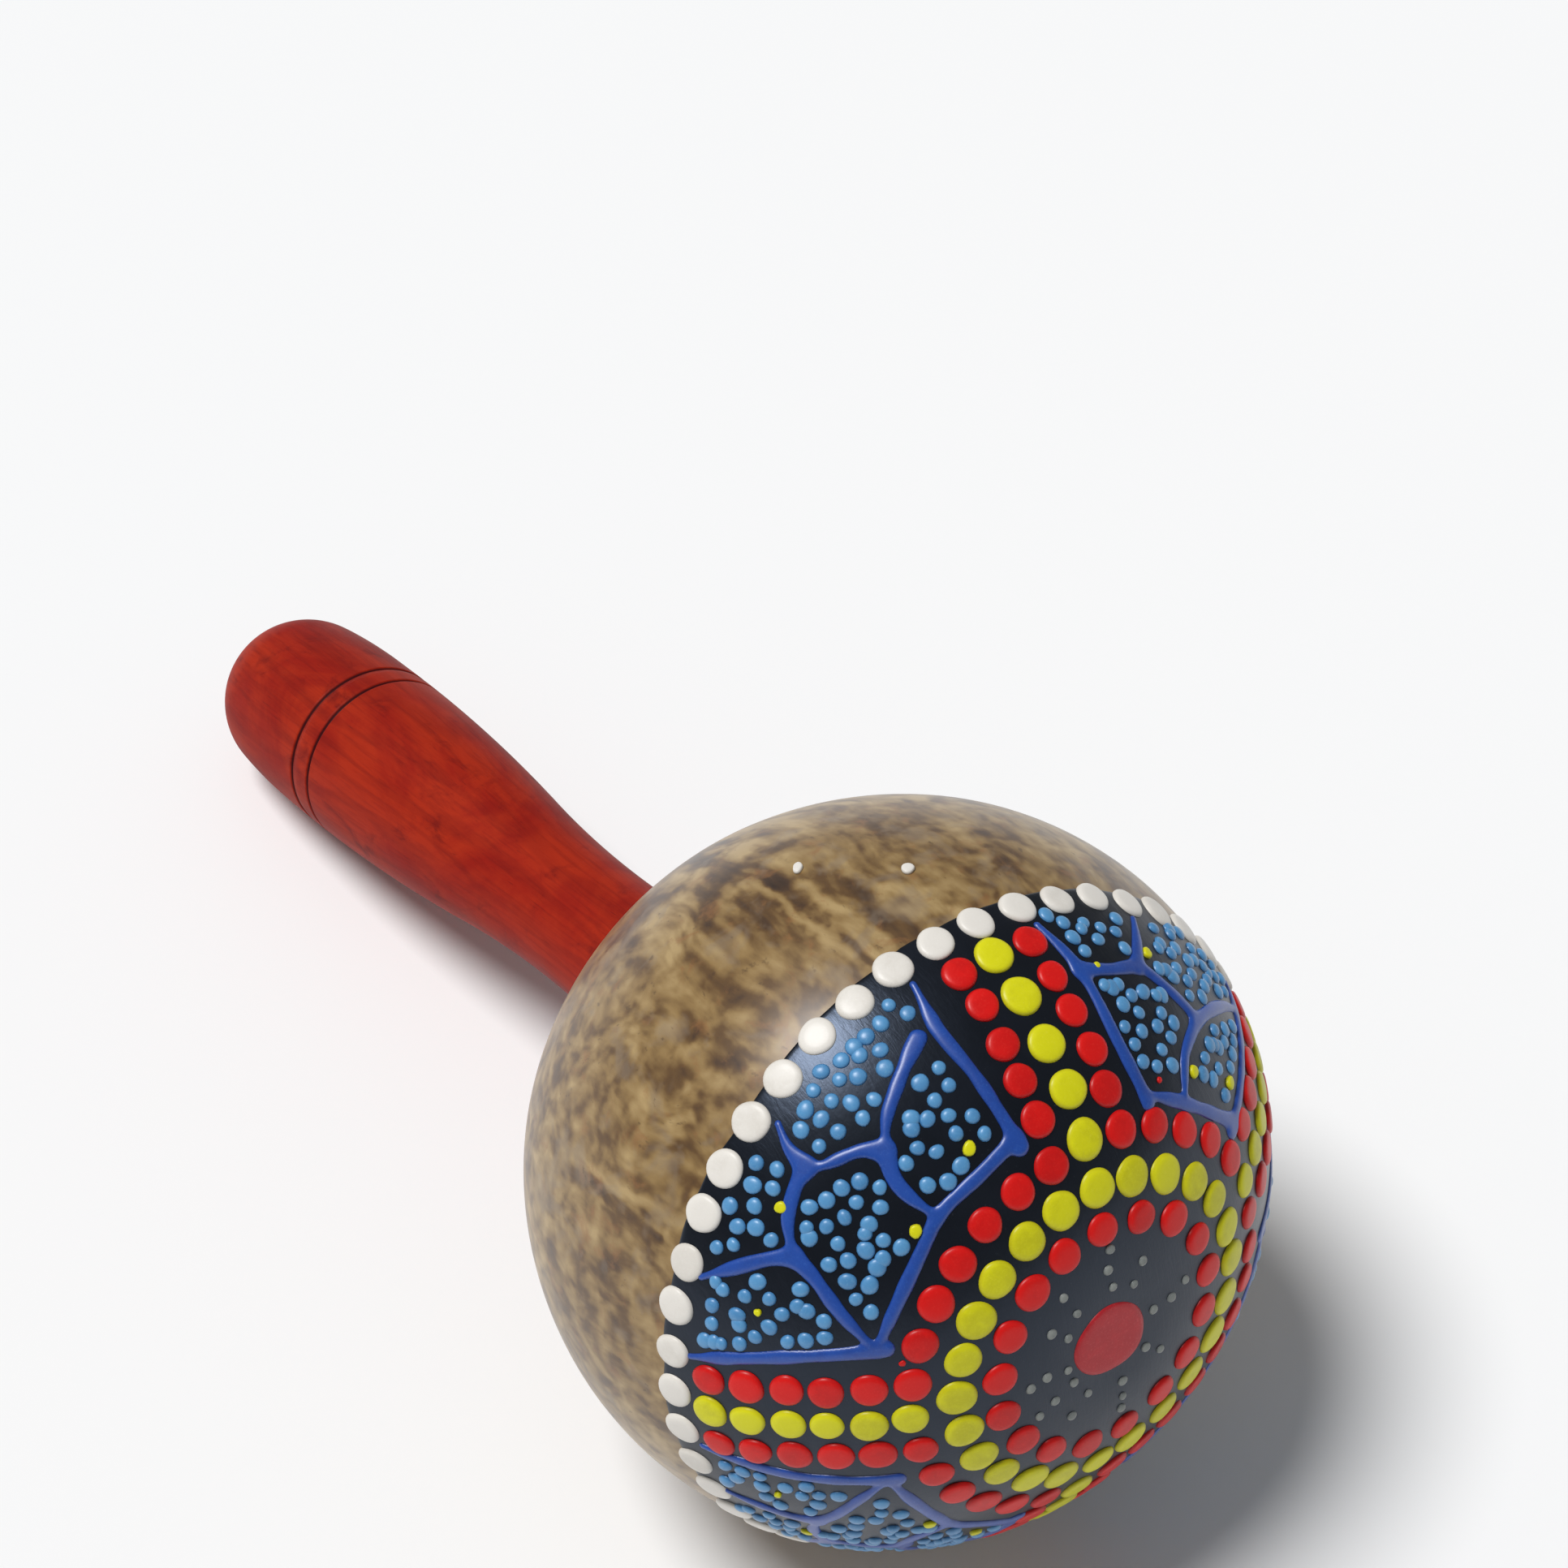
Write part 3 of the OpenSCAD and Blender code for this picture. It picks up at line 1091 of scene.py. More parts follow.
@dataclass(frozen=True)
class StainedWood:
    """Turned hardwood under a red-orange stain and satin lacquer, with painted shade darkening its grooves."""

    orange: Colour = screen(166, 43, 20)
    red: Colour = screen(145, 27, 16)
    deep: Colour = screen(100, 15, 15)
    dark: Colour = screen(58, 12, 16)
    # Near-black that the grooves are painted with: painted shade in the cut grooves.
    cut: Colour = screen(48, 11, 17)
    pith: Triple = (26.0, -9.0, 0.0)
    felt: float = 1.5
    lacquer: Lacquer = Lacquer(weight=0.04, roughness=0.3, gloss=0.54, shine=0.06)

    def build(self, effects: Effects) -> Material:
        """Makes the material.

        Args:
            effects: The shared effects.

        Returns:
            The new material.
        """
        finish = Finish("red_stained_wood")
        patch = finish.patch
        place = patch.place(self.pith)
        drift = patch.grain(place, (0.08, 0.08, 0.02), 3.0)
        across = patch.vector("LENGTH", patch.stretch(place, (1.0, 1.0, 0.015))).outputs["Value"]
        ring = patch.math("MULTIPLY", patch.plus(across, drift, 14.0), 1.7)
        year = patch.plus(0.5, patch.math("SINE", ring), 0.5)
        fibre = patch.grain(place, (1.5, 1.5, 0.06), 6.0, 0.62, 0.3)
        pore = patch.grain(place, (4.2, 4.2, 0.22), 2.0, 0.5)
        blotch = patch.grain(place, (0.06, 0.06, 0.04), 5.0, 0.62, 1.0)
        stain = patch.grain(place, (0.16, 0.16, 0.1), 5.0, 0.65, 0.8)
        colour = patch.tinge(self.red, self.orange, blotch, 0.36, 0.62)
        # The last mask is the rim value, high in the grooves, which paints them nearly black: painted shade in
        # the recesses.
        for other, mask, low, high, most in (
                (self.deep, fibre, 0.42, 0.7, 0.34), (self.deep, year, 0.62, 1.0, 0.22),
                (self.deep, stain, 0.54, 0.74, 0.7), (self.dark, pore, 0.66, 0.78, 0.4),
                (self.cut, patch.attribute("rim"), 0.05, 0.6, 0.92)):
            colour = patch.tinge(colour, other, mask, low, high, most)
        finish.set(Base_Color=colour)
        self.lacquer.dress(finish, effects, place, fibre, self.felt)
        return finish.material


# Pieces

class Hand(Enum):
    """Seeds of the hand's unevenness in each piece of paint and in the glue."""

    WHITE = 1
    YELLOW = 2
    RED = 3
    DISC = 5
    GLUE = 11
    LINES = 21
    BEADS = 33
    YELLOW_FLECKS = 34
    SPECKS = 41
    WHITE_FLECKS = 42
    RED_SPATTERS = 43

    def rng(self) -> random.Random:
        """A fresh source of this hand's random numbers."""
        return random.Random(self.value)


@dataclass
class Nut:
    """The hollow nut and its black ground.

    The ground's lip is given as shares of the way to its edge and of its thickness, its underside as shares
    of that way alone, and the waves of its edge as size, shift and share of the stray.
    """

    form: NutForm
    pose: Matrix
    effects: Effects
    spokes: int = 200
    ring_step: float = 0.9 * MM
    inner_coarser: int = 3
    ground_edge: float = 56.9 * MM
    edge_stray: float = 0.9 * MM
    edge_waves: tuple[Triple, ...] = ((2.2, 4.0, 1.0), (9.0, 9.0, 0.4))
    ground_rings: int = 78
    ground_sunk: float = 0.08 * MM
    ground_lip: tuple[Pair, ...] = ((0.994, 0.8), (0.998, 0.5))
    ground_under: tuple[float, ...] = (1.0, 0.9, 0.7, 0.5, 0.3, 0.1)

    @property
    def turns(self) -> list[float]:
        """Turns of the spokes, in degrees."""
        return [360 * k / self.spokes for k in range(self.spokes)]

    def shell(self) -> None:
        """Builds the nut with its wall and the hole for the tenon."""
        form, solid = self.form, Solid("bark_shell")
        last = form.back_end(form.bore)
        count = round(last / self.ring_step)
        outer = [[solid.vert(form.spot(0, 0))]]
        for i in range(1, count + 1):
            outer.append(solid.ring(form.spot(turn, last * i / count) for turn in self.turns))
        solid.skin(outer)
        last_in = form.back_end(form.bore, form.wall)
        count_in = count // self.inner_coarser
        inner = [outer[-1]]
        for i in range(count_in, 0, -1):
            inner.append(solid.ring(circle(*form.outline(last_in * i / count_in, form.wall), self.spokes)))
        inner.append([solid.vert(Vector((0, 0, form.shoulder - form.wall)))])
        solid.skin(inner, slot=1)
        made = solid.piece(self.pose, [Bark().build(self.effects), BARE_NUT.build()])
        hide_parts("shell")

    def edge(self, turn: float) -> float:
        """Distance of the ground's brushed edge from the pole.

        Args:
            turn: Turn about the axis, in degrees.

        Returns:
            The distance.
        """
        about = math.radians(turn)
        return self.ground_edge + self.edge_stray * sum(
            share * noise.noise(Vector((size * math.cos(about), size * math.sin(about), shift)))
            for size, shift, share in self.edge_waves)

    def ground(self) -> None:
        """Builds the black ground as a thin coat with a brushed edge."""
        form, solid = self.form, Solid("black_ground")
        rows = [(i / self.ground_rings, form.coat) for i in range(1, self.ground_rings)]
        rows += [(share, rise * form.coat) for share, rise in self.ground_lip]
        rows += [(share, -self.ground_sunk) for share in self.ground_under]
        edges = [(turn, self.edge(turn)) for turn in self.turns]
        rings = [[solid.vert(form.spot(0, 0, form.coat))]]
        for share, lift in rows:
            rings.append(solid.ring(form.spot(turn, edge * share, lift) for turn, edge in edges))
        rings.append([solid.vert(form.spot(0, 0, -self.ground_sunk))])
        solid.skin(rings)
        made = solid.piece(self.pose, [Ground().build(self.effects)])
        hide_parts("ground_coat")

    def build(self) -> None:
        """Builds both pieces."""
        self.shell()
        self.ground()


def arc(start: float, stop: float, radius: float, steps: int) -> list[Pair]:
    """Outline of a ball between two distances from its axis.

    Args:
        start: First distance from the axis.
        stop: Last distance from the axis.
        radius: Radius of the ball.
        steps: Number of even steps.

    Returns:
        Distance from the axis and distance behind the middle of each point.
    """
    places = [start + (stop - start) * i / steps for i in range(steps + 1)]
    return [(r, math.sqrt(radius ** 2 - r * r)) for r in places]


@dataclass
class Handle:
    """The turned handle and the glue that holds it."""

    form: HandleForm
    pose: Matrix
    effects: Effects
    spokes: int = 120
    steps: int = 8
    bead: float = 0.38 * MM
    bead_mean: float = 0.75
    bead_least: float = 0.3
    bead_orders: tuple[int, ...] = (1, 2, 3, 5, 8)
    bead_waves: Pair = (0.1, 0.35)
    bead_round: tuple[Pair, ...] = ((0.62, 0.55), (-0.1, 1.0))

    def wood(self) -> None:
        """Builds the handle with its tenon, its shoulder against the nut and its grooves."""
        form, solid = self.form, Solid("turned_handle")
        seat = form.nut.radius + form.glue
        tip = form.nut.radius - form.tenon_l
        outline = [(form.tenon_r - form.tenon_bevel, tip), (form.tenon_r, tip + form.tenon_bevel)]
        outline += arc(form.tenon_r, form.foot_r, seat, self.steps)[:-1]
        rings = [[solid.vert(Vector((0, 0, -tip)))]]
        rings += [solid.ring(circle(r, -s, self.spokes)) for r, s in outline]
        for s in form.stations()[:-1]:
            cut = form.groove(s)
            # The groove share goes into the rim value, which the wood's finish turns into painted shade in the
            # grooves.
            rings.append(solid.ring(circle(form.plain(s) - form.groove_d * cut, -s, self.spokes), cut))
        rings.append([solid.vert(Vector((0, 0, -form.end)))])
        solid.skin(rings)
        made = solid.piece(self.pose, [StainedWood().build(self.effects)])
        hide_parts("handle")

    def glue(self) -> None:
        """Builds the glue film under the shoulder and round the tenon, and its uneven bead outside."""
        form, nut, solid, rng = self.form, self.form.nut, Solid("glue_bead"), Hand.GLUE.rng()
        phases = [(order, rng.uniform(*self.bead_waves), rng.uniform(0, TAU)) for order in self.bead_orders]
        foot = math.sqrt(nut.radius ** 2 - form.foot_r ** 2)
        inner_end = math.sqrt((nut.radius - nut.wall) ** 2 - nut.bore ** 2)
        seat = arc(form.tenon_r, form.foot_r, nut.radius + form.glue, self.steps)
        spokes = []
        for k in range(self.spokes):
            about = TAU * k / self.spokes
            wave = sum(size * math.cos(order * about + phase) for order, size, phase in phases)
            size = self.bead * max(self.bead_least, self.bead_mean + wave)
            section = [(form.tenon_r, inner_end), (nut.bore, inner_end)]
            section += arc(nut.bore, form.foot_r + size, nut.radius, self.steps)
            section += [(form.foot_r + out * size, foot + back * size) for out, back in self.bead_round]
            section += reversed(seat)
            spokes.append(solid.ring(Vector((r * math.cos(about), r * math.sin(about), -s))
                                     for r, s in section))
        solid.skin(spokes, loop=True)
        made = solid.piece(self.pose, [DRIED_GLUE.build()])
        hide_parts("glue_joint")

    def build(self) -> None:
        """Builds both pieces."""
        self.wood()
        self.glue()


Profile = Sequence[Pair]
THICK: Profile = ((0.35, 0.995), (0.6, 0.965), (0.78, 0.87), (0.9, 0.66), (0.97, 0.36), (1.0, 0.06),
                  (1.0, -0.6))
ROUND: Profile = ((0.3, 0.96), (0.55, 0.86), (0.75, 0.68), (0.9, 0.42), (0.98, 0.16), (1.0, 0.03),
                  (1.0, -0.6))
FLAT: Profile = ((0.4, 1.0), (0.7, 0.98), (0.88, 0.9), (0.96, 0.62), (1.0, 0.1), (1.0, -0.6))


class Brushwork:
    """Drops of one paint on the ground, gathered in one mesh."""

    WAVES = ((2, 0.035), (3, 0.022), (5, 0.01))
    WAVE_SHARES = (0.3, 1.0)
    LEAN = 0.08

    def __init__(self, name: str, form: NutForm, hand: Hand) -> None:
        """Starts with no paint.

        Args:
            name: Name of the piece.
            form: Form that the paint lies on.
            hand: Seed of the hand's unevenness.
        """
        self.form, self.solid, self.rng = form, Solid(name), hand.rng()

    def drop(self, turn: float, d: float, radius: float, height: float, profile: Profile = THICK,
             spokes: int = 30, uneven: float = 1.0, longer: float = 0.0, heading: float = 0.0) -> None:
        """Lays one drop.

        Args:
            turn: Turn about the axis, in degrees.
            d: Distance from the pole.
            radius: Radius of the drop.
            height: Height above the ground.
            profile: Shares of radius and height from the middle out.
            spokes: Points round the drop.
            uneven: How uneven its outline is.
            longer: Share by which it is longer than wide.
            heading: Direction of its length, in radians.
        """
        form, rng = self.form, self.rng
        middle, along = form.spot(turn, d, form.coat), form.aside(turn, d, heading)
        across = form.aside(turn, d, heading + math.pi / 2)
        waves = [(order, uneven * rng.uniform(*self.WAVE_SHARES) * size, rng.uniform(0, TAU))
                 for order, size in self.WAVES]
        tint, lean, way = rng.random(), rng.uniform(0, self.LEAN), rng.uniform(0, TAU)
        rings = [[self.solid.vert(form.press(middle, form.coat + height), 0.0, tint)]]
        for share, rise in profile:
            points = []
            for k in range(spokes):
                about = TAU * k / spokes
                wave = sum(size * math.cos(order * about + phase) for order, size, phase in waves)
                out = radius * share * (1 + share * wave)
                lift = form.coat + height * rise * (1 + lean * share * math.cos(about - way))
                there = along * (out * math.cos(about) * (1 + longer)) + across * (out * math.sin(about))
                points.append(form.press(middle + there, lift))
            rings.append(self.solid.ring(points, share, tint))
        self.solid.skin(rings)
        self.solid.cap(rings[-1])

    def piece(self, pose: Matrix, finish: Material, replaced: str = "", slot: str = "") -> None:
        """Finishes the piece.

        Args:
            pose: Place of the nut in the row frame.
            finish: The paint's material.
            replaced: CAD node that the piece stands for, if any.
            slot: Not used.
        """
        made = self.solid.piece(pose, [finish])
        if replaced:
            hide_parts(replaced)


def search_tree(points: Sequence[Vector]) -> kdtree.KDTree:
    """A search tree of points.

    Args:
        points: The points.

    Returns:
        The tree, with each point under its number.
    """
    tree = kdtree.KDTree(len(points))
    for index, point in enumerate(points):
        tree.insert(point, index)
    tree.balance()
    return tree


@dataclass
class LineField:
    """Raised lines of one paint, gathered in one field so that they run together where they meet."""

    form: NutForm
    width: float
    height: float
    rng: random.Random
    reach_share: float = 2.4
    merge_share: float = 0.36
    path_step: float = 0.2 * MM
    sway: float = 0.2
    sway_run: float = 3 * MM
    sway_shift: float = 50.0
    pooled: float = 0.3
    pool_run: float = 1.8 * MM
    thin_end: float = 0.5
    thin_run: float = 5 * MM
    rim_rise: float = 0.04
    rounding: Pair = (2.2, 0.62)
    tint_scale: float = 120.0
    sunk: float = 0.12 * MM
    samples: list[tuple[Vector, float, int]] = field(default_factory=list)
    count: int = 0

    @property
    def reach(self) -> float:
        """How far from the middle of a line its paint is felt."""
        return self.reach_share * self.width

    @property
    def merge(self) -> float:
        """How softly lines that lie close together run into each other."""
        return self.merge_share * self.width

    def line(self, places: Sequence[Place], ahead: float = 0.0) -> list[Vector]:
        """Adds one line, wider at its start, where the paint pooled, and thinner towards its end.

        Args:
            places: Turns and distances from the pole that it passes through.
            ahead: How far before the first place it starts.

        Returns:
            Points along the line.
        """
        points = [self.form.plain(*place) for place in places]
        points[0] += (points[0] - points[1]).normalized() * ahead
        path = [self.form.plain(*self.form.settle(point)) for point in smooth_path(points, self.path_step)]
        total = sum((b - a).length for a, b in zip(path, path[1:]))
        shift, run = self.rng.uniform(0, self.sway_shift), 0.0
        for before, point in zip([path[0]] + path, path):
            run += (point - before).length
            sway = 1 + self.sway * noise.noise(Vector((run / self.sway_run + shift, shift, 0)))
            pool = 1 + self.pooled * math.exp(-(run / self.pool_run) ** 2)
            taper = self.thin_end + (1 - self.thin_end) * fade(0, self.thin_run, total - run)
            self.samples.append((point, self.width * sway * pool * taper, self.count))
        self.count += 1
        return path

    def depth(self, tree: kdtree.KDTree, point: Vector) -> float:
        """How far inside the paint's outline a point lies, below 0 outside it.

        Args:
            tree: Search tree of the lines' samples.
            point: Point on the round form.

        Returns:
            The depth, with lines that lie close together merged smoothly.
        """
        inside: dict[int, float] = {}
        for _, index, away in tree.find_range(point, self.reach):
            _, half, line = self.samples[index]
            inside[line] = max(inside.get(line, -self.reach), half - away)
        if not inside:
            return -self.reach
        return self.merge * math.log(sum(math.exp(depth / self.merge) for depth in inside.values()))

    def skin(self, solid: Solid, low: float, high: float, step: float) -> None:
        """Lays the paint as a closed skin over the ground.

        Args:
            solid: Mesh to add to.
            low: Least distance from the pole that the lines reach.
            high: Greatest distance from the pole that they reach.
            step: Size of the skin's mesh.
        """
        form = self.form
        rows, spokes = round((high - low) / step), round(TAU * form.outline(high)[0] / step)
        tree = search_tree([point for point, _, _ in self.samples])
        spots = [[(360 * k / spokes, low + (high - low) * i / rows) for k in range(spokes + 1)]
                 for i in range(rows + 1)]
        depths = [[self.depth(tree, form.plain(*place)) for place in row[:-1]] for row in spots]
        made: dict[tuple[int, ...], tuple[BMVert, BMVert]] = {}

        def pair(key: tuple[int, ...], place: Place, depth: float) -> tuple[BMVert, BMVert]:
            """The vertices above and below a place, made at its first use.

            Args:
                key: Numbers of the place in the mesh.
                place: Turn and distance from the pole.
                depth: How far inside the paint's outline it lies.

            Returns:
                The upper vertex and the lower one.
            """
            if key not in made:
                share, (inward, upward) = min(1.0, depth / self.width), self.rounding
                rise = self.rim_rise + (1 - self.rim_rise) * (1 - (1 - share) ** inward) ** upward
                top = form.spot(*place, form.coat + self.height * rise)
                tint = 0.5 + 0.5 * noise.noise(top * self.tint_scale)
                under = form.spot(*place, form.coat - self.sunk)
                made[key] = (solid.vert(top, 1 - share, tint), solid.vert(under, 1.0, tint))
            return made[key]

        for i in range(rows):
            for k in range(spokes):
                corners = ((i, k), (i, k + 1), (i + 1, k + 1), (i + 1, k))
                values = [depths[row][column % spokes] for row, column in corners]
                if max(values) <= 0:
                    continue
                loop, leaves = [], []
                for n in range(4):
                    (row, column), (next_row, next_column) = corners[n], corners[(n + 1) % 4]
                    here, there = values[n], values[(n + 1) % 4]
                    key, next_key = (row, column % spokes), (next_row, next_column % spokes)
                    if here > 0:
                        loop.append(pair(key, spots[row][column], here))
                    if (here > 0) != (there > 0):
                        share = here / (here - there)
                        (turn, d), (next_turn, next_d) = spots[row][column], spots[next_row][next_column]
                        edge = (turn + (next_turn - turn) * share, d + (next_d - d) * share)
                        if here > 0:
                            leaves.append(len(loop))
                        loop.append(pair(min(key, next_key) + max(key, next_key), edge, 0.0))
                solid.bm.faces.new([top for top, _ in loop])
                solid.bm.faces.new([under for _, under in reversed(loop)])
                for n in leaves:
                    (top, under), (next_top, next_under) = loop[n], loop[(n + 1) % len(loop)]
                    solid.bm.faces.new((next_top, top, under, next_under))


def laid_drops(node: str, pose: Matrix) -> list[Vector]:
    """Middles of the separate drops of a CAD node, in the nut's own frame.

    Args:
        node: Name of the CAD node.
        pose: Place of the nut in the row frame.

    Returns:
        One point for each drop.
    """
    bm = bmesh.new()
    bm.from_mesh(frame["nodes"][node].data)
    bmesh.ops.remove_doubles(bm, verts=bm.verts, dist=WELD)
    home, seen, middles = pose.inverted(), set(), []
    bm.verts.ensure_lookup_table()
    for first in bm.verts:
        if first.index in seen:
            continue
        heap, group = [first], []
        seen.add(first.index)
        while heap:
            vert = heap.pop()
            group.append(vert.co)
            for edge in vert.link_edges:
                other = edge.other_vert(vert)
                if other.index not in seen:
                    seen.add(other.index)
                    heap.append(other)
        low = Vector(min(co[i] for co in group) for i in range(3))
        high = Vector(max(co[i] for co in group) for i in range(3))
        middles.append(home @ ((low + high) / 2))
    bm.free()
    return middles


class Net(Enum):
    """Blue line work of a panel, as lines through places.

    A place is a share of the way from arm to arm, and a distance from the pole in millimetres. The first two
    lines are the panel's sides and the third is its inner edge.
    """

    FIVE = (
        ((0.18, 31.6), (0.175, 34.5), (0.17, 40.0), (0.17, 46.5), (0.15, 52.5)),
        ((0.78, 31.6), (0.84, 42.0), (0.895, 53.0)),
        ((0.18, 31.6), (0.295, 31.2), (0.42, 31.8), (0.515, 31.2), (0.66, 31.0), (0.78, 31.6)),
        ((0.207, 47.2), (0.24, 46.3), (0.285, 45.0), (0.345, 43.2), (0.39, 41.0)),
        ((0.39, 41.0), (0.42, 43.3), (0.475, 45.6), (0.495, 47.2)),
        ((0.495, 47.2), (0.485, 50.0), (0.463, 52.6)),
        ((0.39, 41.0), (0.42, 38.5), (0.432, 35.8), (0.432, 31.8)),
        ((0.495, 47.2), (0.537, 47.0), (0.59, 46.0), (0.642, 43.8)),
        ((0.642, 43.8), (0.674, 47.0), (0.747, 53.2)),
        ((0.642, 43.8), (0.663, 40.8), (0.716, 36.5), (0.775, 32.0)),
    )
    FOUR = (
        ((0.22, 30.0), (0.19, 38.0), (0.17, 46.0), (0.16, 52.0)),
        ((0.73, 29.9), (0.79, 36.6), (0.82, 45.9), (0.86, 52.3)),
        ((0.22, 30.0), (0.31, 29.3), (0.535, 29.0), (0.73, 29.9)),
        ((0.82, 45.5), (0.72, 45.0), (0.63, 45.3), (0.59, 44.5), (0.465, 40.7), (0.45, 39.4), (0.52, 34.7),
         (0.535, 29.2)),
        ((0.63, 45.3), (0.59, 49.0), (0.56, 52.6)),
        ((0.45, 39.4), (0.35, 42.5), (0.25, 45.3), (0.175, 47.0)),
    )


@dataclass(frozen=True)
class Panel:
    """One painted panel between two arms."""

    start: float
    stop: float
    net: Net
    mirrored: bool = False

    def place(self, share: float, d: float) -> Place:
        """Turn and distance, in metres, of a place in the panel."""
        share = 1 - share if self.mirrored else share
        return self.start + (self.stop - self.start) * share, d * MM

    def side(self, which: int, d: float) -> float:
        """Share at which one of the panel's sides lies.

        Args:
            which: Number of the side, 0 or 1.
            d: Distance from the pole in millimetres.

        Returns:
            The share of the way from arm to arm.
        """
        line = self.net.value[which]
        for (share, near), (next_share, far) in zip(line, line[1:]):
            if d <= far:
                return share + (next_share - share) * (d - near) / (far - near)
        return line[-1][0]


@dataclass
class Painting:
    """All the paint on the ground: dots, disc, blue net, beads and specks.

    Places given in tables are in degrees and millimetres: rays of specks as a turn and their distances,
    flecks among the beads as share, distance and radius, flecks on the bark as turn, distance, radius and
    lengthening, and spatters as turn and distance.
    """

    form: NutForm
    pose: Matrix
    effects: Effects
    arms: tuple[float, ...] = (101.0, 172.0, 267.0, 350.0)
    nets: tuple[Net, ...] = (Net.FOUR, Net.FIVE, Net.FIVE, Net.FIVE)
    mirrored: int = 2
    middle_off: float = 1.5 * MM
    middle_turn: float = 225.0
    border: float = 55.4 * MM
    white_r: float = 2.27 * MM
    yellow_r: float = 2.4 * MM
    red_r: float = 2.16 * MM
    closeness: float = 0.455
    dot_h: float = 0.52 * MM
    dot_spread: Pair = (0.95, 1.05)
    dot_rise: Pair = (0.9, 1.1)
    disc_r: float = 4.9 * MM
    disc_h: float = 0.3 * MM
    line_w: float = 0.84 * MM
    line_h: float = 0.34 * MM
    overshoot: float = 1.1 * MM
    net_low: float = 27.0 * MM
    net_margin: float = 0.4 * MM
    net_mesh: float = 0.27 * MM
    bead_r: float = 0.94 * MM
    bead_h: float = 0.5 * MM
    bead_spread: Pair = (0.86, 1.12)
    bead_rise: Pair = (0.85, 1.1)
    bead_longer: float = 0.12
    bead_low: float = 32.2
    bead_margin: float = 1.5
    bead_tries: int = 2600
    bead_room: float = 2.12 * MM
    bead_rooms: Pair = (0.96, 1.16)
    line_room: float = 1.85 * MM
    border_room: float = 3.3 * MM
    paired: float = 0.12
    pair_gap: float = 1.25
    fleck_h: float = 0.42 * MM
    fleck_places: tuple[Triple, ...] = (
        (0.275, 34.2, 0.85), (0.485, 33.0, 0.8), (0.575, 47.4, 0.75), (0.765, 45.6, 0.45))
    speck_r: float = 0.64 * MM
    speck_spread: Pair = (0.85, 1.1)
    speck_h: float = 0.36 * MM
    speck_stray: float = 3.0
    speck_rays: tuple[tuple[float, tuple[float, ...]], ...] = (
        (178.0, (8.3, 10.9, 13.4)), (151.0, (7.5, 10.4)), (99.0, (5.7, 8.5, 11.1)), (46.0, (5.4, 8.2)),
        (357.0, (6.6, 9.1, 11.1)), (316.0, (7.1, 10.4)), (288.0, (7.1, 10.1, 12.6)),
        (265.0, (7.4, 10.3, 12.5)), (233.0, (8.4, 11.1)), (212.0, (9.2, 12.5)))
    bark_fleck_h: float = 0.3 * MM
    bark_flecks: tuple[tuple[float, float, float, float], ...] = (
        (184.0, 76.2, 0.65, 0.5), (173.0, 66.5, 0.8, 0.15))
    spatter_r: float = 0.4 * MM
    spatter_h: float = 0.2 * MM
    spatters: tuple[Place, ...] = ((147.5, 31.4), (248.5, 28.4))
    white: Paint = Paint("white_paint_drops", screen(232, 227, 219), screen(204, 197, 186),
                         screen(240, 237, 232), 0.3)
    yellow: Paint = Paint("yellow_paint_drops", screen(222, 219, 22), screen(174, 166, 18),
                          screen(232, 229, 70), 0.5)
    red: Paint = Paint("red_paint_drops", screen(222, 21, 18), screen(168, 13, 16), screen(234, 58, 46), 0.5)
    disc: Paint = Paint("thin_red_paint", screen(206, 42, 50), screen(156, 28, 38), screen(222, 92, 90), 0.3)
    blue: Paint = Paint("blue_line_paint", screen(20, 72, 163), screen(10, 42, 118), screen(64, 112, 192),
                        0.45, Lacquer(weight=0.6, roughness=0.3, gloss=0.42, shine=0.4))
    sky: Paint = Paint("light_blue_drops", screen(86, 150, 200), screen(46, 106, 162), screen(130, 182, 214),
                       0.5, Lacquer(weight=0.5, roughness=0.3, gloss=0.42, shine=0.4))
    grey: Paint = Paint("grey_paint_specks", screen(138, 142, 138), screen(84, 90, 92), screen(170, 172, 168),
                        0.6)
    lines: list[Vector] = field(default_factory=list)
    mixed: dict[str, Material] = field(default_factory=dict)

    def coat(self, paint: Paint) -> Material:
        """The material of a paint, built at its first use.

        Args:
            paint: The paint.

        Returns:
            Its material.
        """
        if paint.name not in self.mixed:
            self.mixed[paint.name] = paint.build(self.effects)
        return self.mixed[paint.name]

    def dots(self, name: str, node: str, radius: float, paint: Paint, slot: str, hand: Hand) -> None:
        """Lays thick drops where a CAD node has its dots, smaller where they lie close together.

        Args:
            name: Name of the piece.
            node: CAD node that it stands for.
            radius: Largest radius of a drop.
            paint: Paint to use.
            slot: Material slot of the record.
            hand: Seed of the hand's unevenness.
        """
        work, middles = Brushwork(name, self.form, hand), laid_drops(node, self.pose)
        for middle in middles:
            room = min((middle - other).length for other in middles if other is not middle)
            size = min(radius, self.closeness * room) * work.rng.uniform(*self.dot_spread)
            work.drop(*self.form.settle(middle), size, self.dot_h * work.rng.uniform(*self.dot_rise))
        work.piece(self.pose, self.coat(paint), node, slot)

    def pole_disc(self) -> None:
        """Lays the red disc in the middle of the rings."""
        work = Brushwork("painted_disc", self.form, Hand.DISC)
        work.drop(self.middle_turn, self.middle_off, self.disc_r, self.disc_h, FLAT, spokes=48, uneven=1.4,
                  longer=0.06, heading=0.6)
        work.piece(self.pose, self.coat(self.disc), "pole_disc", "disc_paint")

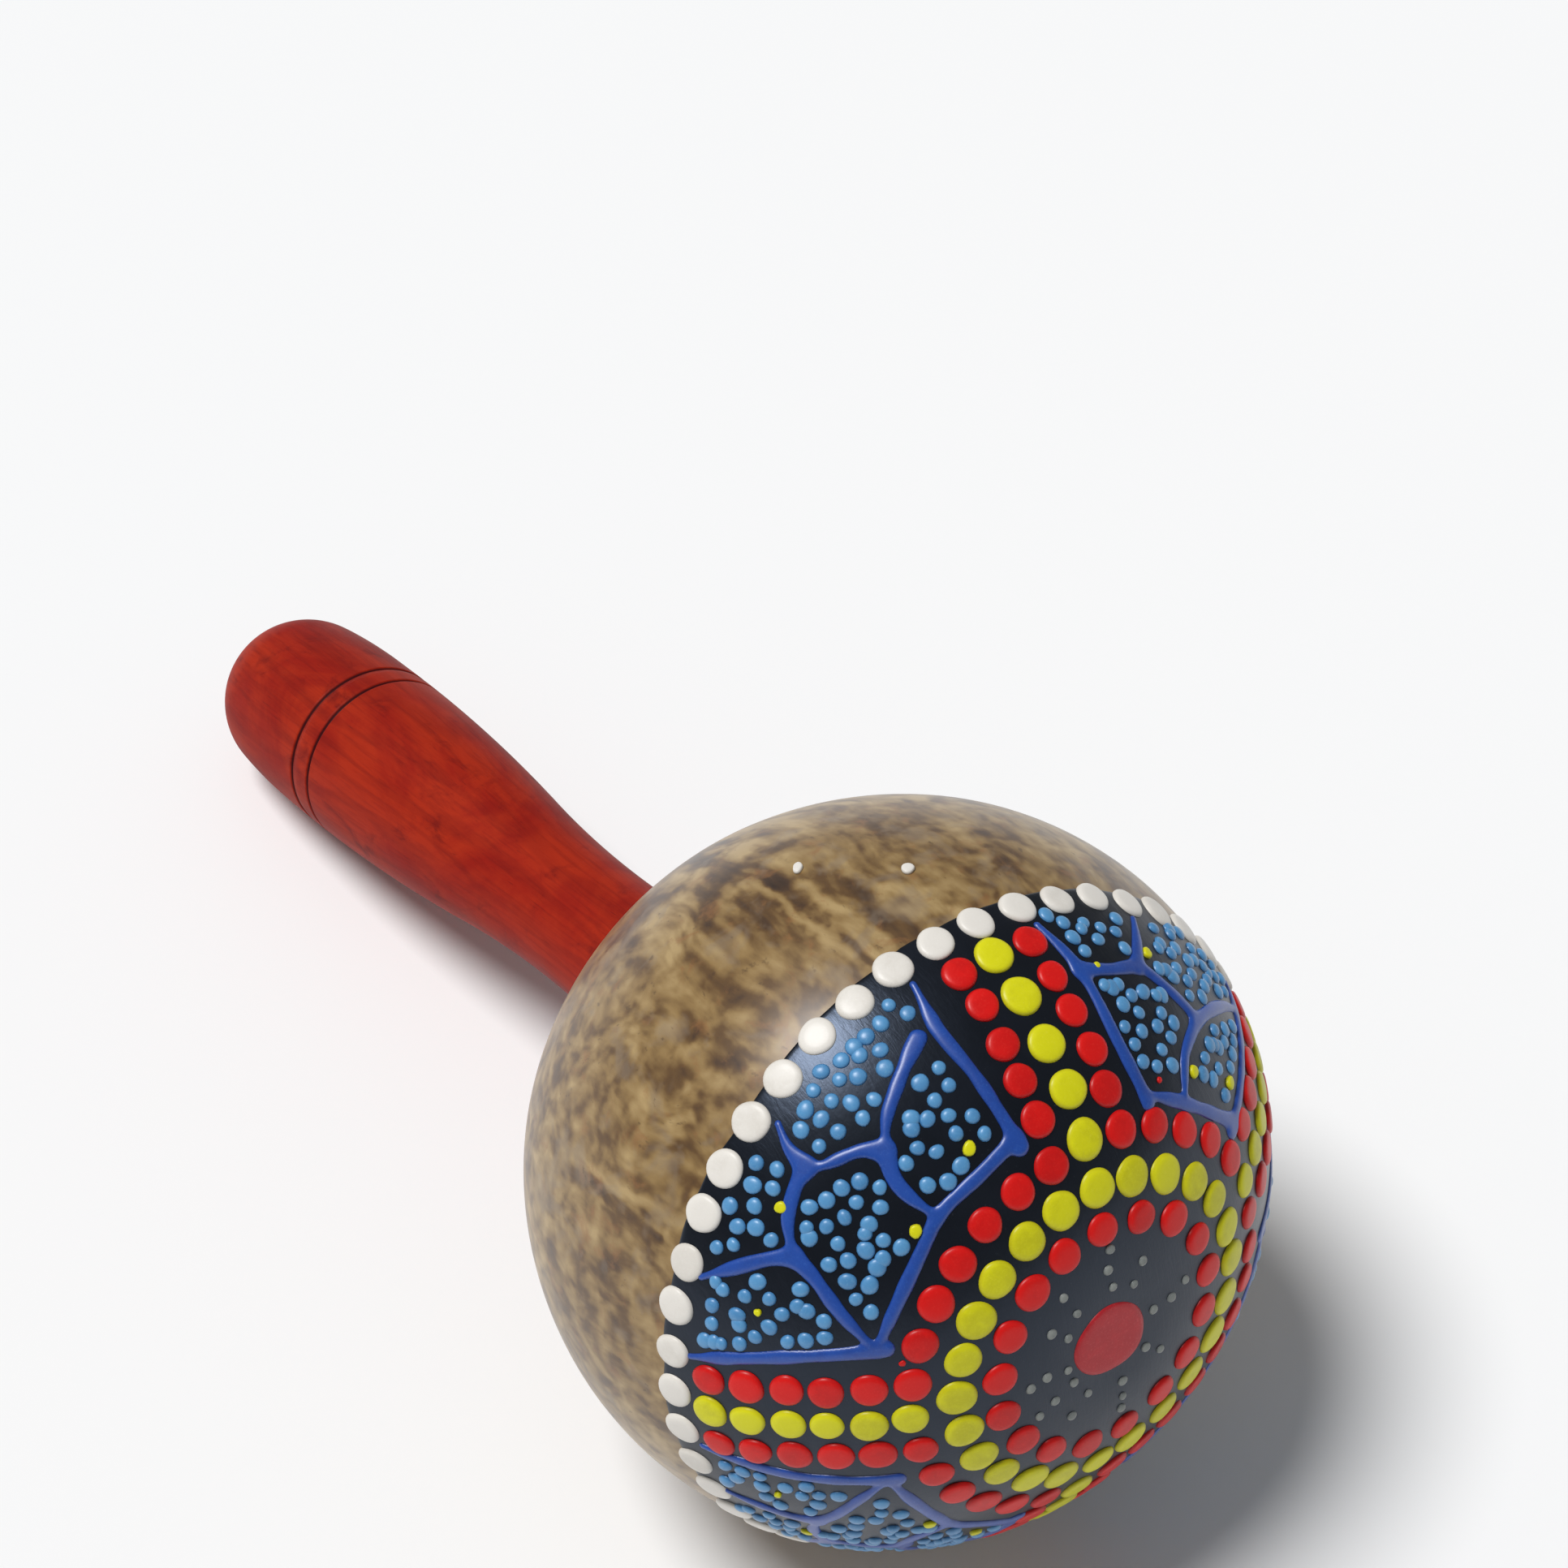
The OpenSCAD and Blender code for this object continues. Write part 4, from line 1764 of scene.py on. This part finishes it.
    def panels(self) -> list[Panel]:
        """The four panels in order.

        Returns:
            One panel after each arm.
        """
        ends = self.arms[1:] + (self.arms[0] + 360,)
        return [Panel(start, stop, net, number == self.mirrored)
                for number, (start, stop, net) in enumerate(zip(self.arms, ends, self.nets))]

    def net(self) -> None:
        """Lays the raised blue lines of all panels, whose sides start a little before the corners."""
        paint = LineField(self.form, self.line_w, self.line_h, Hand.LINES.rng())
        for panel in self.panels():
            for number, line in enumerate(panel.net.value):
                ahead = self.overshoot if number < NET_SIDES else 0.0
                self.lines += paint.line([panel.place(*place) for place in line], ahead)
        solid = Solid("blue_lines")
        paint.skin(solid, self.net_low, self.border - self.net_margin, self.net_mesh)
        solid.piece(self.pose, [self.coat(self.blue)])

    def free_places(self, panel: Panel, rng: random.Random, lines: kdtree.KDTree,
                    whites: Sequence[Vector]) -> list[tuple[float, float, Vector]]:
        """Finds places in a panel's cells that keep clear of the lines and the border dots.

        Args:
            panel: Panel to look in.
            rng: Source of the places.
            lines: Search tree of the points along the lines.
            whites: Middles of the border dots.

        Returns:
            Turn, distance from the pole and point of each place.
        """
        found = []
        for _ in range(self.bead_tries):
            d = rng.uniform(self.bead_low, self.border / MM - self.bead_margin)
            turn, away = panel.place(rng.uniform(panel.side(0, d), panel.side(1, d)), d)
            point = self.form.spot(turn, away, self.form.coat)
            border = min((point - dot).length for dot in whites)
            if lines.find(point)[2] > self.line_room and border > self.border_room:
                found.append((turn, away, point))
        return found

    def bead(self, work: Brushwork, turn: float, d: float) -> None:
        """Lays one light-blue bead.

        Args:
            work: Paint to add to.
            turn: Turn about the axis, in degrees.
            d: Distance from the pole.
        """
        rng = work.rng
        radius = self.bead_r * rng.uniform(*self.bead_spread)
        height = self.bead_h * rng.uniform(*self.bead_rise)
        work.drop(turn, d, radius, height, ROUND, spokes=16, uneven=1.2,
                  longer=rng.uniform(0, self.bead_longer), heading=rng.uniform(0, TAU))

    def beads(self) -> None:
        """Fills the cells of the net with light-blue drops, and lays a few yellow flecks among them."""
        work = Brushwork("light_blue_beads", self.form, Hand.BEADS)
        flecks = Brushwork("yellow_flecks", self.form, Hand.YELLOW_FLECKS)
        rng, form = work.rng, self.form
        whites, lines = laid_drops("white_dots", self.pose), search_tree(self.lines)
        for panel in self.panels():
            taken: list[Vector] = []
            for share, d, radius in self.fleck_places:
                fleck = panel.place(share, d)
                flecks.drop(*fleck, radius * MM, self.fleck_h, spokes=14, uneven=4.0)
                taken.append(form.spot(*fleck, form.coat))
            places = self.free_places(panel, rng, lines, whites)
            need = [self.bead_room * rng.uniform(*self.bead_rooms) for _ in places]
            room = [min((point - fleck).length for fleck in taken) for _, _, point in places]
            while fits := [index for index in range(len(places)) if room[index] > need[index]]:
                turn, d, point = places[min(fits, key=room.__getitem__)]
                self.bead(work, turn, d)
                laid = [point]
                if rng.random() < self.paired:
                    step = form.aside(turn, d, rng.uniform(0, TAU)) * (self.pair_gap * self.bead_r)
                    beside = form.settle(point + step)
                    laid.append(form.spot(*beside, form.coat))
                    self.bead(work, *beside)
                taken += laid
                room = [min([room[index]] + [(place[2] - bead).length for bead in laid])
                        for index, place in enumerate(places)]
            LOG.info("panel from %.0f: %d beads and flecks", panel.start, len(taken))
        work.piece(self.pose, self.coat(self.sky))
        flecks.piece(self.pose, self.coat(self.yellow), slot="yellow_paint")

    def specks(self) -> None:
        """Lays rays of grey specks round the disc, two white flecks on the bark and two red spatters."""
        work = Brushwork("grey_specks", self.form, Hand.SPECKS)
        for turn, distances in self.speck_rays:
            for d in distances:
                stray = work.rng.uniform(-self.speck_stray, self.speck_stray)
                radius = self.speck_r * work.rng.uniform(*self.speck_spread)
                work.drop(turn + stray, d * MM, radius, self.speck_h, ROUND, spokes=14, uneven=2.0)
        work.piece(self.pose, self.coat(self.grey))
        flecks = Brushwork("white_flecks", self.form, Hand.WHITE_FLECKS)
        for turn, d, radius, longer in self.bark_flecks:
            flecks.drop(turn, d * MM, radius * MM, self.bark_fleck_h, spokes=16, uneven=3.0, longer=longer,
                        heading=0.9)
        flecks.piece(self.pose, self.coat(self.white), slot="white_paint")
        spatters = Brushwork("red_spatters", self.form, Hand.RED_SPATTERS)
        for turn, d in self.spatters:
            spatters.drop(turn, d * MM, self.spatter_r, self.spatter_h, spokes=14, uneven=4.0)
        spatters.piece(self.pose, self.coat(self.red), slot="red_paint")

    def build(self) -> None:
        """Builds all the paint."""
        self.dots("painted_white_dots", "white_dots", self.white_r, self.white, "white_paint", Hand.WHITE)
        self.dots("painted_yellow_dots", "yellow_dots", self.yellow_r, self.yellow, "yellow_paint",
                  Hand.YELLOW)
        self.dots("painted_red_dots", "red_dots", self.red_r, self.red, "red_paint", Hand.RED)
        self.pole_disc()
        self.net()
        self.beads()
        self.specks()


@dataclass
class Rattle:
    """The loose seeds inside the nut."""

    bodies: Sequence[str]
    dents: float = 0.16
    dent_share: float = 0.7
    dent_scale: float = 1.3
    crease: float = 0.08
    crease_w: float = 0.16
    crease_fade: Pair = (0.2, 0.9)
    fineness: int = 4

    def build(self) -> None:
        """Builds each seed where its CAD ball lies, a little shrunken and dented."""
        finish = SEED_COAT.build()
        for number, body in enumerate(self.bodies):
            low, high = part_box(body)
            middle, radius = (low + high) / 2, (high - low).x / 2
            shift = Vector((number, 2 * number, 5))
            solid = Solid("rattle_" + body)
            bmesh.ops.create_icosphere(solid.bm, subdivisions=self.fineness, radius=radius)
            for vert in solid.bm.verts:
                way = vert.co.normalized()
                dent = 0.5 + 0.5 * noise.noise(way * self.dent_scale + shift)
                crease = math.exp(-((way.x / self.crease_w) ** 2)) * fade(*self.crease_fade, way.z)
                vert.co = way * radius * (1 - self.dents * dent * self.dent_share - self.crease * crease)
            made = solid.piece(Matrix.Translation(middle), [finish], body)
            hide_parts(body)


# Stage

@dataclass(frozen=True)
class Studio:
    """Pale floor, soft light and the camera of the photo."""

    nut_middle: Vector
    elevation: float = 47.4
    azimuth: float = 52.7
    focal_pixels: float = 4650.0
    nut_distance: float = 465.0 * MM
    nut_pixel: Pair = (1110.0, 1441.0)
    sensor: float = 36.0
    floor_size: float = 12.0
    floor_colour: Colour = (0.93, 0.93, 0.93, 1.0)
    floor_roughness: float = 0.85
    sky_colour: Colour = (0.94, 0.97, 1.0, 1.0)
    sky_strength: float = 0.22
    lamp_side: Vector = field(default_factory=lambda: Vector((-0.35, -0.51, 1.57)))
    lamp_width: float = 23.0
    lamp_power: float = 2.72

    def camera(self) -> None:
        """Sets the camera so that the nut's middle falls on its pixel."""
        up, about = math.radians(self.elevation), math.radians(self.azimuth)
        back = Vector((math.sin(about) * math.cos(up), -math.cos(about) * math.cos(up), math.sin(up)))
        right = Vector((math.cos(about), math.sin(about), 0.0))
        top = back.cross(right)
        aside, below = ((pixel - IMAGE_SIZE / 2) / self.focal_pixels * self.nut_distance
                        for pixel in self.nut_pixel)
        where = self.nut_middle - right * aside + top * below + back * self.nut_distance
        data = bpy.data.cameras.new("photo_camera")
        data.sensor_width = self.sensor
        data.lens = self.focal_pixels / IMAGE_SIZE * self.sensor
        made = placed("photo_camera", data)
        made.matrix_world = Matrix.Translation(where) @ Matrix((right, top, back)).transposed().to_4x4()
        bpy.context.scene.camera = made

    def floor(self) -> None:
        """Lays the pale floor."""
        bm = bmesh.new()
        bmesh.ops.create_grid(bm, x_segments=2, y_segments=2, size=self.floor_size / 2)
        mesh = bpy.data.meshes.new("floor")
        bm.to_mesh(mesh)
        bm.free()
        finish = Finish("pale_floor")
        finish.set(Base_Color=self.floor_colour, Roughness=self.floor_roughness)
        mesh.materials.append(finish.material)
        made = placed("floor", mesh)

    def lamp(self) -> None:
        """Hangs the soft overhead lamp, so wide and far off that it lights the whole floor evenly."""
        data = bpy.data.lights.new("overhead_soft_lamp", "SUN")
        data.energy, data.angle = self.lamp_power, math.radians(self.lamp_width)
        made = placed("overhead_soft_lamp", data)
        made.location = self.nut_middle + self.lamp_side
        made.rotation_euler = (-self.lamp_side).to_track_quat("-Z", "Y").to_euler()

    def sky(self) -> None:
        """Sets a pale sky all round."""
        world = bpy.data.worlds.new("pale_sky")
        world.use_nodes = True
        shade = world.node_tree.nodes["Background"]
        shade.inputs["Color"].default_value = self.sky_colour
        shade.inputs["Strength"].default_value = self.sky_strength
        bpy.context.scene.world = world

    def build(self) -> None:
        """Sets the stage and the colour handling."""
        bpy.context.scene.view_settings.view_transform = "Standard"
        self.camera()
        self.floor()
        self.lamp()
        self.sky()


def nut_pose() -> tuple[Matrix, float]:
    """Place and radius of the nut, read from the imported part.

    Returns:
        The matrix from the nut's own frame to the row frame, and the nut's radius.
    """
    low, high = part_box("shell")
    radius = (high - low).y / 2
    band = next(mount for mount in frame["record"]["mounts"] if mount["name"] == "holder_band")
    pole = -Vector(band["axis"]).normalized()
    band_place = Vector(band["pos_m"])
    middle = band_place + pole * ((radius - band_place.z) / pole.z)
    down = Vector((pole.z, 0, -pole.x))
    turn = Matrix((down, pole.cross(down), pole)).transposed().to_4x4()
    return Matrix.Translation(middle) @ turn, radius


def main() -> None:
    """Builds the stage and every piece."""
    logging.basicConfig(level=logging.INFO, format="%(name)s: %(message)s")
    pose, radius = nut_pose()
    nut_form = NutForm(radius)
    middle = tuple(round(v / MM, 2) for v in pose.translation)
    LOG.info("nut radius %.2f mm, middle at %s", radius / MM, middle)
    Studio(pose.translation.copy()).build()
    effects = Effects()
    Nut(nut_form, pose, effects).build()
    Handle(HandleForm(nut_form), pose, effects).build()
    Painting(nut_form, pose, effects).build()
    Rattle(sorted(body for body in frame["bodies"] if body.startswith("seed_"))).build()


if __name__ == "__main__":
    main()
